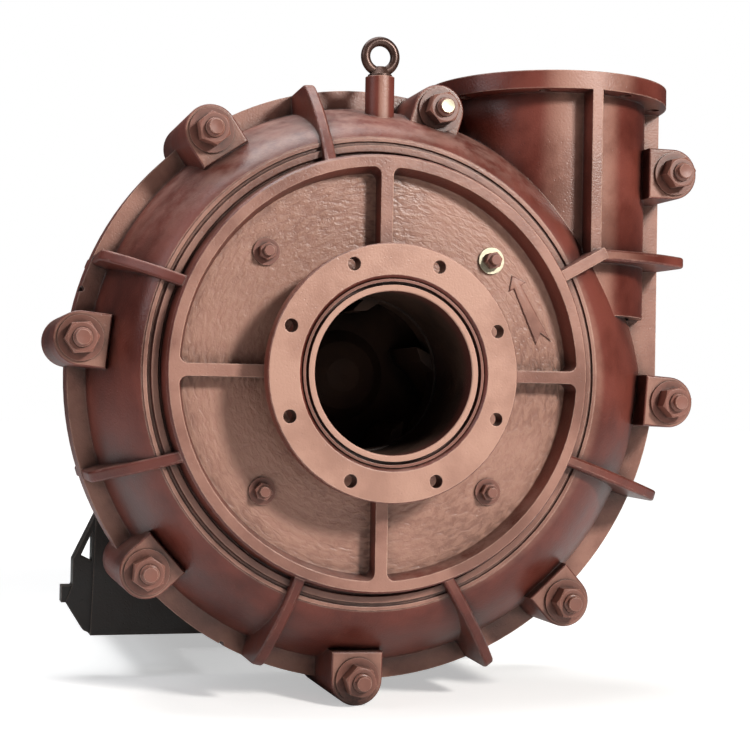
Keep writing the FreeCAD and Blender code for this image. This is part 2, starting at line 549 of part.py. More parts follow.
def impeller():
    """Closed impeller: conical front shroud with the eye ring, five vanes, flat back shroud with boss, and
    six expelling vanes behind it."""
    rim, back = SHROUD_RIM, BACK_SHROUD
    front = turned([(EYE_R, EYE_FACE), (EYE_RIM_R, EYE_FACE), (IMPELLER_R, rim),
                    (IMPELLER_R, rim + SHROUD_T), (EYE_RIM_R + 14, EYE_FACE + SHROUD_T + 6),
                    (EYE_R, EYE_FACE + SHROUD_T + 20)])
    rear = turned([(0, 14), (0, -16), (34, -12), (70, 4), (HUB_NOSE_R, 30), (180, back - 2),
                   (IMPELLER_R, back), (IMPELLER_R, back + SHROUD_T), (130, back + SHROUD_T),
                   (108, BOSS_END - 6), (108, BOSS_END), (0, BOSS_END)])
    inside = turned([(0, back + 6), (0, EYE_FACE + 8), (EYE_R + 5, EYE_FACE + 8),
                     (EYE_RIM_R + 14, EYE_FACE + SHROUD_T - 2), (IMPELLER_R, rim + SHROUD_T - 4),
                     (IMPELLER_R, back + 6)])
    out_face = back + SHROUD_T
    expeller = block(150, IMPELLER_R - 5, out_face - 1, out_face + 10, -8, 8)
    vanes = [vane(72 * i + 20).common(inside) for i in range(5)] + [spun(expeller, 60 * i) for i in range(6)]
    return fused([front, rear] + vanes).cut(rod(52, 4, BOSS_END + 1))


def shaft():
    body = turned([(0, 6), (52, 6), (52, BOSS_END), (60, BOSS_END), (60, 440), (66, 446), (66, 520), (70, 520),
                   (70, 640), (86, 646), (86, 980), (70, 986), (70, 1150), (SHAFT_END_R + 3, 1156),
                   (SHAFT_END_R + 3, 1205), (SHAFT_END_R, 1208), (SHAFT_END_R, SHAFT_END - 3),
                   (SHAFT_END_R - 3, SHAFT_END), (0, SHAFT_END)])
    seat = block(-16, 16, 1230, SHAFT_END - 24, SHAFT_END_R - 11, SHAFT_END_R + 1)
    for t in (1230, SHAFT_END - 24):
        seat = seat.fuse(post(16, SHAFT_END_R - 11, SHAFT_END_R + 1, 0, t))
    return body.cut(spun(seat, -90))


def rotor():
    add("impeller", impeller())
    add("shaft", shaft())
    add("impeller_collar", tube(SLEEVE_R - 4, 60, BOSS_END, 140))
    add("shaft_sleeve", turned([(60, 140), (SLEEVE_R, 140), (SLEEVE_R, 404), (60, 404)]))
    add("shaft_spacer", tube(72, 60, 404, 440))
    add("front_labyrinth", turned([(66, 446), (140, 446), (140, 458), (112, 458), (112, 466),
                                   (66, 466)]))
    for side, (t0, t1) in zip(("front", "rear"), BEARING_T):
        add(f"{side}_bearing_inner", turned([
            (70, t0), (INNER_RACE_R + 5, t0), (INNER_RACE_R + 5, t0 + 8), (INNER_RACE_R, t0 + 8),
            (INNER_RACE_R, t1 - 8), (INNER_RACE_R + 5, t1 - 8), (INNER_RACE_R + 5, t1), (70, t1)]))
    add("bearing_locknut", notched_ring(70, 94, 1080, 1098))
    add("rear_labyrinth", turned([(SHAFT_END_R + 3, 1170), (140, 1170), (140, 1158), (112, 1158),
                                  (112, 1150), (96, 1150), (96, 1157), (SHAFT_END_R + 3, 1157)]))


def notched_ring(r_in, r_out, t0, t1):
    ring = tube(r_out, r_in, t0, t1)
    for i in range(4):
        ring = ring.cut(spun(block(r_out - 7, r_out + 1, t0 - 1, t1 + 1, -6, 6), 45 + 90 * i))
    return ring


# ---- bearing cartridge ----
EAR_Z, EAR_X = -30.0, 236.0
CLAMP_T, CLAMP_X = (575.0, 1040.0), 280.0
SCREW_Z = -262.0
COVER_SCREW_R = 158.0


def bearing_housing():
    body = turned([(0, HOUSING_FRONT + 22), (HOUSING_R, HOUSING_FRONT + 22), (HOUSING_R, 520),
                   (BAND_R, 526), (BAND_R, 622), (HOUSING_R, 628), (HOUSING_R, 985), (BAND_R, 991),
                   (BAND_R, 1086), (HOUSING_R, 1092), (HOUSING_R, HOUSING_BACK - 22),
                   (0, HOUSING_BACK - 22)])
    arms = []
    for t in CLAMP_T:
        arms.append(block(-EAR_X, EAR_X, t - 40, t + 40, EAR_Z - 24, EAR_Z))
    arms.append(block(-34, 34, 1040, 1066, SCREW_Z - 36, -150))
    for t in (645.0, 965.0):
        arms.append(post(20, 150, HOUSING_R + 14, 0, t))
    body = body.multiFuse(arms)
    cavity = turned([(0, HOUSING_FRONT), (150, HOUSING_FRONT), (150, 624), (136, 624), (136, 996),
                     (150, 996), (150, HOUSING_BACK), (0, HOUSING_BACK)])
    body = body.cut(cavity)
    for i in range(8):
        x, z = polar(COVER_SCREW_R + 6, 22.5 + 45 * i)
        body = body.cut(rod(6, HOUSING_FRONT, HOUSING_FRONT + 46, x, z))
        body = body.cut(rod(6, HOUSING_BACK - 46, HOUSING_BACK, x, z))
    for t in (645.0, 965.0):
        body = body.cut(post(7, 120, HOUSING_R + 20, 0, t))
    return body.cut(rod(13, 1039, 1067, 0, SCREW_Z))


def end_cover(t_face, t_seat, way):
    """Cover of one end of the housing, with a spigot to the bearing and a raised labyrinth ring."""
    body = turned([(92, t_seat + way * 8), (92, t_face), (HOUSING_R + 2, t_face),
                   (HOUSING_R + 2, t_seat), (149.6, t_seat), (149.6, t_seat + way * 26),
                   (124, t_seat + way * 26), (124, t_seat + way * 8)])
    collar = tube(134, 118, min(t_face, t_face - way * 14), max(t_face, t_face - way * 14))
    body = body.fuse(collar)
    for i in range(8):
        x, z = polar(COVER_SCREW_R + 6, 22.5 + 45 * i)
        body = body.cut(rod(6.5, min(t_face, t_seat) - 1, max(t_face, t_seat) + 1, x, z))
    return body


def cover_screws(t_face, way):
    screws = []
    for i in range(8):
        x, z = polar(COVER_SCREW_R + 6, 22.5 + 45 * i)
        t_in = t_face + way * 44
        shank = rod(6, min(t_face, t_in), max(t_face, t_in), x, z)
        screws.append(shank.fuse(hex_nut(19, 0, t_face, t_face - way * 8, x, z, turn=22.5 + 45 * i))
                      .removeSplitter())
    return screws


def rollers(t0, t1):
    """Rollers joined by the two rings of their cage."""
    pitch_r = (INNER_RACE_R + OUTER_RACE_R) / 2
    pieces = [rod(ROLLER_R, t0 + 12, t1 - 12, *polar(pitch_r, 360 / ROLLER_COUNT * i))
              for i in range(ROLLER_COUNT)]
    for t in (t0 + 9, t1 - 13):
        pieces.append(tube(pitch_r + 7, pitch_r - 7, t, t + 4))
    return fused(pieces)


def cartridge():
    add("bearing_housing", bearing_housing())
    front_seat, back_seat = HOUSING_FRONT + 22, HOUSING_BACK - 22
    add("front_end_cover", end_cover(HOUSING_FRONT, front_seat, 1))
    add("rear_end_cover", end_cover(HOUSING_BACK, back_seat, -1))
    add("front_cover_screws", group(cover_screws(HOUSING_FRONT, 1)))
    add("rear_cover_screws", group(cover_screws(HOUSING_BACK, -1)))
    for side, (t0, t1) in zip(("front", "rear"), BEARING_T):
        add(f"{side}_bearing_outer", tube(149.9, OUTER_RACE_R, t0, t1))
        add(f"{side}_rollers", rollers(t0, t1))
    add("grease_cups", group([fused([
        post(7, HOUSING_R, HOUSING_R + 22, 0, t), post(12, HOUSING_R + 14, HOUSING_R + 24, 0, t),
        post(19, HOUSING_R + 24, HOUSING_R + 50, 0, t)]) for t in (645.0, 965.0)]))
    add("adjusting_nuts", group([hex_nut(36, 12.3, 1039.7, 1021, 0, SCREW_Z),
                                 hex_nut(36, 12.3, 1066.3, 1085, 0, SCREW_Z)]))


# ---- base ----
FOOT_Z, FOOT_T = -AXIS_Z, 42.0
BASE_FRONT, BASE_FLANGE = PAD_FACE, 47.0
FLANGE_END = BASE_FRONT + BASE_FLANGE
WALL_X, WALL_T, FOOT_X = 292.0, 30.0, 388.0
BASE_STUD_R = 350.0
SADDLES = ((530.0, 618.0), (996.0, 1082.0))
SADDLE_TOP = -40.0


def mirrored(shapes):
    """The shapes and their mirror images across the shaft."""
    return shapes + [s.mirror(at(0, 0, 0), Vector(1, 0, 0)) for s in shapes]


def base_wing():
    """Side wing of the front foot, with a three-cornered window and a jacking lug."""
    wing = plate([(465, -278), (524, -400), (524, -452), (538, -490), (500, FOOT_Z + 10),
                  (478, FOOT_Z), (440, FOOT_Z), (440, -278)], BASE_FRONT + 10, FLANGE_END + 10)
    wing = wing.cut(plate([(484, -340), (508, -392), (484, -404)], BASE_FRONT, FLANGE_END + 20))
    return wing.fuse(block(515, 547, BASE_FRONT + 14, FLANGE_END + 6, -491, -456))


def base_side():
    """One side of the base: wall, foot, cross gussets and the posts of the two clamps."""
    wall = [(BASE_FRONT + 10, FOOT_Z), (BASE_FRONT + 10, 190), (FLANGE_END + 20, 170), (330, 60),
            (420, -70), (500, -128), (BASE_BACK, -128), (BASE_BACK, FOOT_Z)]
    pieces = [side_plate(wall, WALL_X - WALL_T, WALL_X),
              block(WALL_X - 60, FOOT_X, BASE_FRONT + 10, BASE_BACK, FOOT_Z, FOOT_Z + FOOT_T),
              base_wing()]
    for t in (640.0, BASE_BACK - 28):
        pieces.append(plate([(WALL_X - 5, FOOT_Z + 5), (WALL_X - 5, -250), (WALL_X + 12, -250),
                             (FOOT_X - 28, -480), (FOOT_X - 5, -505), (FOOT_X - 5, FOOT_Z + 5)], t, t + 28))
    for t in CLAMP_T:
        pieces.append(block(246, 314, t - 42, t + 42, -170, EAR_Z - 4))
    return pieces


def base():
    head = [(-486, FOOT_Z), (-476, -235), (-330, 226), (330, 226), (476, -235), (486, FOOT_Z)]
    pieces = [plate(head, BASE_FRONT, FLANGE_END), rod(398, BASE_FRONT, FLANGE_END)]
    pieces += mirrored(base_side())
    for t0, t1 in SADDLES:
        mid = (t0 + t1) / 2
        pieces.append(block(-WALL_X, WALL_X, t0, t1, -330, SADDLE_TOP))
        pieces.append(block(-WALL_X, WALL_X, mid - 15, mid + 15, FOOT_Z, -320))
    pieces.append(block(-40, 40, 930, 1000, SCREW_Z - 62, -236))
    pieces.append(block(-WALL_X, WALL_X, SADDLES[0][1] - 10, SADDLES[1][0] + 10, -352, -326))
    body = fused(pieces)
    body = body.cut(rod(296, BASE_FRONT - 1, 500))
    body = body.cut(rod(BAND_R + 0.3, 500, BASE_BACK + 1))
    body = body.cut(plate([(-240, -330), (-200, -460), (200, -460), (240, -330)],
                          BASE_FRONT - 1, FLANGE_END + 1))
    for t in CLAMP_T:
        body = body.cut(block(-EAR_X - 4, EAR_X + 4, t - 60, t + 60, EAR_Z - 24.3, 0))
        for way in (-1, 1):
            body = body.cut(post(12, -150, EAR_Z, way * CLAMP_X, t))
    body = body.cut(block(-42, 42, 1010, BASE_BACK + 1, SCREW_Z - 60, -180))
    body = body.cut(rod(12, 920, 1012, 0, SCREW_Z))
    for i in range(8):
        x, z = polar(BASE_STUD_R, 22.5 + 45 * i)
        body = body.cut(rod(13, BASE_FRONT - 1, FLANGE_END + 1, x, z))
    for sx in (-1, 1):
        for sy in (-1, 1):
            t = sy * BOLT_HOLES_Y - SPLIT_Y
            body = body.cut(post(17, FOOT_Z - 1, FOOT_Z + FOOT_T + 1, sx * BOLT_HOLES_X, t))
    return body


def clamp(way, t):
    """One hold-down clamp of the bearing housing: the bridge piece and its bolt."""
    x0, x1 = sorted((way * 214, way * 312))
    pad = block(x0, x1, t - 26, t + 26, EAR_Z + 0.3, EAR_Z + 24)
    x0, x1 = sorted((way * 246, way * 312))
    heel = block(x0, x1, t - 26, t + 26, EAR_Z - 4, EAR_Z + 0.3)
    bridge = pad.fuse(heel).removeSplitter().cut(post(12, EAR_Z - 10, 0, way * CLAMP_X, t))
    head = hexagon(0, 0, 0, 36)
    head.rotate(at(0, 0, 0), Vector(1, 0, 0), 90)
    head.translate(Vector(way * CLAMP_X, t, EAR_Z + 24))
    bolt = post(12, -148, EAR_Z + 24, way * CLAMP_X, t).fuse(head.extrude(Vector(0, 0, 15)))
    return bridge, bolt.removeSplitter()


def base_group():
    add("pump_base", base())
    spots = [polar(BASE_STUD_R, 22.5 + 45 * i) for i in range(8)]
    add("frame_studs", group([rod(12, FRAME_INSIDE + 10, FLANGE_END + 34, x, z) for x, z in spots]))
    add("frame_nuts", group([hex_nut(36, 12, FLANGE_END, FLANGE_END + 22, x, z, turn=25 * i)
                             for i, (x, z) in enumerate(spots)]))
    clamps = [clamp(way, t) for t in CLAMP_T for way in (-1, 1)]
    add("clamp_bridges", group([bridge for bridge, _ in clamps]))
    add("clamp_bolts", group([bolt for _, bolt in clamps]))
    add("adjusting_screw", rod(12, 920, 1112, 0, SCREW_Z))


def main():
    casing()
    stuffing()
    rotor()
    cartridge()
    base_group()
    os.makedirs("parts", exist_ok=True)
    for name, shape in PARTS.items():
        bad = [s for s in shape.Solids if not s.isValid() or s.Volume <= 0]
        print(f"{name}: {len(shape.Solids)} solids, {shape.Volume / 1e6:.3f} litres"
              + (" INVALID" if bad or not shape.isValid() else ""))
        shape.exportStep(f"parts/{name}.step")


main()
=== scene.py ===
# %% [markdown]
# # A slurry pump in oxide-red primer
#
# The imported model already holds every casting, bolt and bearing of the pump at its real size. This
# script gives those parts their finishes, adds the small things that are easier to make here (the
# turning arrow cast on the cover, and the threads of the studs), and then sets up floor, light and
# camera. Everything is in metres, Z is up, and the shaft runs along Y with suction at -Y.

import json
import math

import bpy
import numpy as np
from mathutils import Matrix, Vector


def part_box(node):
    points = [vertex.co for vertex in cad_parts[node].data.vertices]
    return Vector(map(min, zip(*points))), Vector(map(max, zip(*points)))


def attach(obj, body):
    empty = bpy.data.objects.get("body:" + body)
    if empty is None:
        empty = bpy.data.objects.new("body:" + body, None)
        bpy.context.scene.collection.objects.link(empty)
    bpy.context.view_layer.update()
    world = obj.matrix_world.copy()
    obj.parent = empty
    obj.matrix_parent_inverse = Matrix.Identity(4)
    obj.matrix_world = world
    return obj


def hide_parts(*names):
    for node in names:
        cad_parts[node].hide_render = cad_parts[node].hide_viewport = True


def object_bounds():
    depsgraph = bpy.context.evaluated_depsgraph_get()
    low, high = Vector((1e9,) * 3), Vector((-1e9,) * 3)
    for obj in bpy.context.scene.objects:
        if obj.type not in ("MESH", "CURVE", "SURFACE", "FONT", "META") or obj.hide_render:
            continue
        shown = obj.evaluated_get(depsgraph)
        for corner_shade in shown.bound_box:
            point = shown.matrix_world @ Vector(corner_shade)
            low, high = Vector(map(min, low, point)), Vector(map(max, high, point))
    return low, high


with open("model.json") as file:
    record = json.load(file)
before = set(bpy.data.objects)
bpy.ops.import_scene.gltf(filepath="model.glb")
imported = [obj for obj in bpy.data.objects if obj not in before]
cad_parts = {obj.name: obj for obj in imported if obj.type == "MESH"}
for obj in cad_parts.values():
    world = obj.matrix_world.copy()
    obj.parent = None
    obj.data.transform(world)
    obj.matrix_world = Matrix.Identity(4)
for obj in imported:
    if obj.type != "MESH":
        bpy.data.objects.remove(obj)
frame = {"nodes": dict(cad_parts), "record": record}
cad_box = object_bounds()
nodes = frame["nodes"]
print(f"{len(nodes)} nodes, from {tuple(round(v, 3) for v in cad_box[0])} to {tuple(round(v, 3) for v in cad_box[1])}")

# %% [markdown]
# ## Where things are
#
# A few measures of the real pump come back again and again: the height of the shaft, the plane where
# the two halves of the casing meet, and the floor of the shallow recess round the suction flange. The
# other places are read from the boxes of the nodes, so they follow the model if it changes.

# %% Measures used by several pieces
AXIS_Z = 0.560                  # height of the shaft centre
SPLIT_Y = -0.640                # plane where the two halves of the casing meet
RECESS_FLOOR_Y = SPLIT_Y - 0.258
SUCTION_FACE_Y = SPLIT_Y - 0.365
RECESS_R = 0.383
print("suction face at y =", round(SUCTION_FACE_Y, 3), "and recess floor at y =", round(RECESS_FLOOR_Y, 3))

# %% [markdown]
# ## Building node trees in a few words
#
# A material is a graph. Written out in full, each node takes four or five lines, so one helper makes a
# node, sets its options and fills its sockets. A value that is itself a socket becomes a link.


# %% Helpers for node trees
def put(tree, kind, inputs=None, **options):
    """Add one node. inputs maps a socket's name or number to a number, colour, vector or output socket."""
    made = tree.nodes.new("ShaderNode" + kind)
    for key, value in options.items():
        setattr(made, key, value)
    for key, value in (inputs or {}).items():
        if isinstance(value, bpy.types.NodeSocket):
            tree.links.new(value, made.inputs[key])
        else:
            made.inputs[key].default_value = value
    return made


def math_of(tree, operation, a, b=0.0, clamp=False):
    """Output of one Math node: operation applied to a and b."""
    return put(tree, "Math", {0: a, 1: b}, operation=operation, use_clamp=clamp).outputs[0]


def ramp(tree, value, low, high, out_low=0.0, out_high=1.0):
    """Output that goes smoothly from out_low to out_high while value goes from low to high."""
    made = put(tree, "MapRange", {"Value": value, 1: low, 2: high, 3: out_low, 4: out_high},
               interpolation_type="SMOOTHSTEP")
    return made.outputs[0]


def blend_colours(tree, share, a, b, way="MIX"):
    """Colour a turned into colour b by share."""
    return put(tree, "Mix", {0: share, 6: a, 7: b}, data_type="RGBA", blend_type=way).outputs[2]


def srgb(red, green, blue):
    """A screen colour, 0 to 255, as the linear colour that shaders use: ((c + 0.055) / 1.055) ** 2.4."""
    linear = [((c / 255 + 0.055) / 1.055) ** 2.4 if c > 10 else c / 255 / 12.92 for c in (red, green, blue)]
    return (*linear, 1.0)


def new_group(name, inputs, outputs):
    """Node group with named float inputs {name: start value} and outputs {name: socket type}."""
    tree = bpy.data.node_groups.new(name, "ShaderNodeTree")
    for label, value in inputs.items():
        tree.interface.new_socket(label, in_out="INPUT", socket_type="NodeSocketFloat").default_value = value
    for label, kind in outputs.items():
        tree.interface.new_socket(label, in_out="OUTPUT", socket_type="NodeSocket" + kind)
    return tree, tree.nodes.new("NodeGroupInput").outputs, tree.nodes.new("NodeGroupOutput").inputs


def use(tree, group, inputs=None):
    """Place a node group in a tree and return its outputs."""
    made = put(tree, "Group", node_tree=group)
    for key, value in (inputs or {}).items():
        if isinstance(value, bpy.types.NodeSocket):
            tree.links.new(value, made.inputs[key])
        else:
            made.inputs[key].default_value = value
    return made.outputs


print("helpers ready")

# %% [markdown]
# ## Edges and corners
#
# Sand casting leaves no sharp edge, and paint pulls back from the ones that remain, so open edges are
# painted lighter: partly worn paint, partly a painted highlight. Inner corners are painted darker, and
# that is painted shade. Geometry could be bevelled, but the imported castings are closed triangle meshes
# that stay as they are. The Bevel node rounds the shading instead: where its normal differs from the true
# one, there is an edge. Ambient occlusion then tells the open edges from the inner corners.

# %% Group: cast_edges
cast_edges, given, out = new_group(
    "cast_edges", {"Radius": 0.004, "Breakup": 60.0}, {"Edge": "Float", "Corner shade": "Float", "Normal": "Vector"})
where = put(cast_edges, "TexCoord").outputs["Object"]
true_normal = put(cast_edges, "NewGeometry").outputs["Normal"]
rounded = put(cast_edges, "Bevel", {"Radius": given["Radius"]}, samples=4).outputs[0]
likeness = put(cast_edges, "VectorMath", {0: true_normal, 1: rounded}, operation="DOT_PRODUCT").outputs["Value"]
patchy = put(cast_edges, "TexNoise", {"Vector": where, "Scale": given["Breakup"], "Detail": 4.0}).outputs[0]
shade = put(cast_edges, "AmbientOcclusion", {"Distance": 0.045}, samples=8).outputs["AO"]
# the edge mask lightens open edges (worn paint and painted highlight); the corner mask below is painted shade in the
# inner corners
any_edge = ramp(cast_edges, likeness, 0.992, 0.90)
open_side = ramp(cast_edges, shade, 0.50, 0.85)
edge = math_of(cast_edges, "MULTIPLY", math_of(cast_edges, "MULTIPLY", any_edge, open_side),
               ramp(cast_edges, patchy, 0.32, 0.62, 0.35, 1.0))
corner_shade = math_of(cast_edges, "MULTIPLY", ramp(cast_edges, shade, 0.92, 0.38),
                 ramp(cast_edges, patchy, 0.25, 0.75, 0.65, 1.0))
cast_edges.links.new(edge, out["Edge"])
cast_edges.links.new(corner_shade, out["Corner shade"])
cast_edges.links.new(rounded, out["Normal"])
print("cast_edges:", len(cast_edges.nodes), "nodes")

# %% [markdown]
# ## The skin of a sand casting
#
# The sand leaves a fine pebbled skin with a few pits, and the whole wall waves slightly where the mould
# gave way. Three noises of different sizes, added up, give both, and the widest one also drives slow
# changes of colour in the paint.

# %% Group: sand_skin
sand_skin, given, out = new_group(
    "sand_skin", {"Grain": 260.0, "Wave": 14.0, "Pits": 0.5}, {"Height": "Float", "Mottle": "Float"})
where = put(sand_skin, "TexCoord").outputs["Object"]
grain = put(sand_skin, "TexNoise", {"Vector": where, "Scale": given["Grain"], "Detail": 3.0}).outputs[0]
wave = put(sand_skin, "TexNoise", {"Vector": where, "Scale": given["Wave"], "Detail": 3.0,
                                   "Distortion": 0.6}).outputs[0]
cells = put(sand_skin, "TexVoronoi", {"Vector": where, "Scale": 95.0}).outputs["Distance"]
pits = math_of(sand_skin, "MULTIPLY", ramp(sand_skin, cells, 0.22, 0.05), given["Pits"])
height = math_of(sand_skin, "SUBTRACT", math_of(sand_skin, "ADD", math_of(sand_skin, "MULTIPLY", grain, 0.5),
                                                math_of(sand_skin, "MULTIPLY", wave, 0.8)), pits)
broad = put(sand_skin, "TexNoise", {"Vector": where, "Scale": 5.0, "Detail": 5.0, "Roughness": 0.6}).outputs[0]
sand_skin.links.new(height, out["Height"])
sand_skin.links.new(ramp(sand_skin, broad, 0.32, 0.68), out["Mottle"])
print("sand_skin:", len(sand_skin.nodes), "nodes")

# %% [markdown]
# ## Dust
#
# Workshop dust settles on whatever faces up. The world normal says how far a surface faces up, and a
# noise breaks the film so that it never looks like a second coat of paint.

# %% Group: settled_dust
settled_dust, given, out = new_group("settled_dust", {"Amount": 0.5}, {"Dust": "Float"})
where = put(settled_dust, "TexCoord").outputs["Object"]
up = put(settled_dust, "SeparateXYZ", {0: put(settled_dust, "NewGeometry").outputs["Normal"]}).outputs["Z"]
drift = put(settled_dust, "TexNoise", {"Vector": where, "Scale": 24.0, "Detail": 6.0, "Roughness": 0.7}).outputs[0]
film = math_of(settled_dust, "MULTIPLY", ramp(settled_dust, up, 0.25, 0.95), ramp(settled_dust, drift, 0.3, 0.65))
settled_dust.links.new(math_of(settled_dust, "MULTIPLY", film, given["Amount"]), out["Dust"])
print("settled_dust:", len(settled_dust.nodes), "nodes")

# %% [markdown]
# ## Distance from the shaft
#
# Much of the pump is turned about its shaft, so its finishes change with the radius and with the place
# along the shaft. This group hands out both, and the angle round the shaft for streaks that run in rings.

# %% Group: about_shaft
about_shaft, given, out = new_group(
    "about_shaft", {"Centre X": 0.0, "Centre Z": AXIS_Z}, {"Radius": "Float", "Along": "Float", "Angle": "Float"})
place = put(about_shaft, "SeparateXYZ", {0: put(about_shaft, "TexCoord").outputs["Object"]}).outputs
across = math_of(about_shaft, "SUBTRACT", place["X"], given["Centre X"])
over = math_of(about_shaft, "SUBTRACT", place["Z"], given["Centre Z"])
square = math_of(about_shaft, "ADD", math_of(about_shaft, "MULTIPLY", across, across),
                 math_of(about_shaft, "MULTIPLY", over, over))
about_shaft.links.new(math_of(about_shaft, "SQRT", square), out["Radius"])
about_shaft.links.new(place["Y"], out["Along"])
about_shaft.links.new(math_of(about_shaft, "ARCTAN2", over, across), out["Angle"])
print("about_shaft:", len(about_shaft.nodes), "nodes")

# %% [markdown]
# ## The primer
#
# The whole casing is sprayed with one coat of oxide-red primer, over nuts and studs too. It is deep
# red-brown on the shell. Its Pale input makes it pinkish, which the casing uses as a painted sheen on flats
# that face forward, the machined flange most; edges are painted pinkish too, partly thin worn paint and
# partly painted highlight, and corners are painted near-black as painted shade. The group below gives that
# colour, so that parts that are only half painted, such as the throat of the suction, can use it as well.

# %% Group: oxide_primer
PRIMER_MID, PRIMER_DEEP = srgb(118, 57, 46), srgb(80, 32, 24)
# a pale edge colour (worn paint and painted highlight), and a near-black that is painted shade in corners and also the
# dark joint between the casing halves
PRIMER_PALE, PRIMER_SHADE_AND_JOINT = srgb(222, 180, 162), srgb(24, 13, 11)

oxide_primer, given, out = new_group(
    "oxide_primer", {"Pale": 0.0, "Edge": 0.0, "Corner shade": 0.0, "Dust": 0.0, "Mottle": 0.5},
    {"Color": "Color", "Roughness": "Float"})
coat = blend_colours(oxide_primer, given["Mottle"], PRIMER_DEEP, PRIMER_MID)
coat = blend_colours(oxide_primer, given["Pale"], coat, srgb(186, 142, 124))
# edges painted pale: worn paint and painted highlight
coat = blend_colours(oxide_primer, math_of(oxide_primer, "MULTIPLY", given["Edge"], 0.75), coat, PRIMER_PALE)
coat = blend_colours(oxide_primer, given["Dust"], coat, srgb(196, 160, 146))
# corners painted near-black: painted shade
coat = blend_colours(oxide_primer, math_of(oxide_primer, "MULTIPLY", given["Corner shade"], 0.85), coat, PRIMER_SHADE_AND_JOINT)
oxide_primer.links.new(coat, out["Color"])
gloss = ramp(oxide_primer, given["Mottle"], 0.0, 1.0, 0.32, 0.46)
oxide_primer.links.new(math_of(oxide_primer, "ADD", gloss, math_of(oxide_primer, "MULTIPLY", given["Dust"], 0.3)),
                       out["Roughness"])
print("oxide_primer:", len(oxide_primer.nodes), "nodes")


# %% Start of every material
def blank(name):
    """New material with only a Principled BSDF on its output. Returns the material, its tree and the shader."""
    made = bpy.data.materials.new(name)
    made.use_nodes = True
    tree = made.node_tree
    shader = tree.nodes["Principled BSDF"]
    return made, tree, shader


def finish_surface(tree, shader, colour, roughness, height=None, depth=0.001, strength=0.5, normal=None):
    """Link colour, roughness and a bump of the given depth in metres to the shader."""
    tree.links.new(colour, shader.inputs["Base Color"])
    if roughness is not None:
        tree.links.new(roughness, shader.inputs["Roughness"])
    if height is not None:
        bump = put(tree, "Bump", {"Height": height, "Distance": depth, "Strength": strength})
        if normal is not None:
            tree.links.new(normal, bump.inputs["Normal"])
        tree.links.new(bump.outputs[0], shader.inputs["Normal"])


# %% [markdown]
# ## The cover plate
#
# The suction half of the casing shows the most, and its primer isn't even: the recess floor is left
# as cast, rough and streaked where the sand was swept round, and is tinted a paler tan, partly its own
# colour and partly a painted highlight for the light the flat floor catches; flats that face forward are
# painted paler as a painted sheen, the machined flange face most; the shell between the ribs is smooth
# and deep. Three masks from the distance to the shaft tell these zones apart inside one material.

# %% Material: primed casing
primed_casing, tree, shader = blank("primed_casing")
edges = use(tree, cast_edges, {"Radius": 0.004})
skin = use(tree, sand_skin, {"Grain": 240.0, "Wave": 11.0, "Pits": 0.25})
dust = use(tree, settled_dust, {"Amount": 0.35})
shaft = use(tree, about_shaft)
facing = put(tree, "SeparateXYZ", {0: put(tree, "NewGeometry").outputs["Normal"]}).outputs["Y"]
flat_front = ramp(tree, facing, -0.90, -0.99)
off_floor = math_of(tree, "ABSOLUTE", math_of(tree, "SUBTRACT", shaft["Along"], RECESS_FLOOR_Y))
on_floor = math_of(tree, "MULTIPLY", ramp(tree, off_floor, 0.004, 0.001),
                   ramp(tree, shaft["Radius"], RECESS_R + 0.004, RECESS_R - 0.002))
swept = put(tree, "CombineXYZ", {0: math_of(tree, "MULTIPLY", shaft["Angle"], 0.35),
                                 1: math_of(tree, "MULTIPLY", shaft["Radius"], 2.4)}).outputs[0]
streaks = put(tree, "TexNoise", {"Vector": swept, "Scale": 46.0, "Detail": 2.5, "Roughness": 0.5,
                                 "Distortion": 0.5}).outputs[0]
# forward-facing flats painted paler: a painted sheen, strongest on the flange face
flange_sheen = ramp(tree, shaft["Along"], SUCTION_FACE_Y + 0.004, SUCTION_FACE_Y + 0.001, 0.0, 0.42)
pale = math_of(tree, "MULTIPLY", flat_front,
               math_of(tree, "ADD", flange_sheen, ramp(tree, skin["Mottle"], 0.0, 1.0, 0.30, 0.62)))
# through the primer: edges lightened (worn paint and painted highlight), corners darkened (painted shade)
paint = use(tree, oxide_primer, {"Pale": pale, "Edge": edges["Edge"], "Corner shade": edges["Corner shade"],
                                 "Dust": dust["Dust"], "Mottle": skin["Mottle"]})
rough_floor = math_of(tree, "MULTIPLY", streaks, math_of(tree, "MULTIPLY", on_floor, 1.8))
relief = math_of(tree, "ADD", skin["Height"], rough_floor)
# the floor's paler streaked tan: partly its own colour, partly a painted highlight
floor_tint = blend_colours(tree, math_of(tree, "MULTIPLY", on_floor, ramp(tree, streaks, 0.35, 0.65, 0.3, 1.0)),
                           paint["Color"], srgb(172, 130, 112))
seam = ramp(tree, math_of(tree, "ABSOLUTE", math_of(tree, "SUBTRACT", shaft["Along"], SPLIT_Y)), 0.0006, 0.0014, 0.8, 0.0)
colour = blend_colours(tree, seam, blend_colours(tree, 0.7, paint["Color"], floor_tint), PRIMER_SHADE_AND_JOINT)
finish_surface(tree, shader, colour, paint["Roughness"], relief, 0.0022, 0.55, edges["Normal"])
shader.inputs["Specular IOR Level"].default_value = 0.45
shader.inputs["Coat Weight"].default_value = 0.10
shader.inputs["Coat Roughness"].default_value = 0.22
print("primed_casing:", len(tree.nodes), "nodes")

# %% [markdown]
# ## Fasteners under the same spray
#
# Nuts, washers and bolt ends of the casing were sprayed along with it. Rubbing and spanners have bared
# one bolt end at the top of the casing and one small nut in the recess, so this material swaps the
# primer for bright metal inside a ball round a given place.


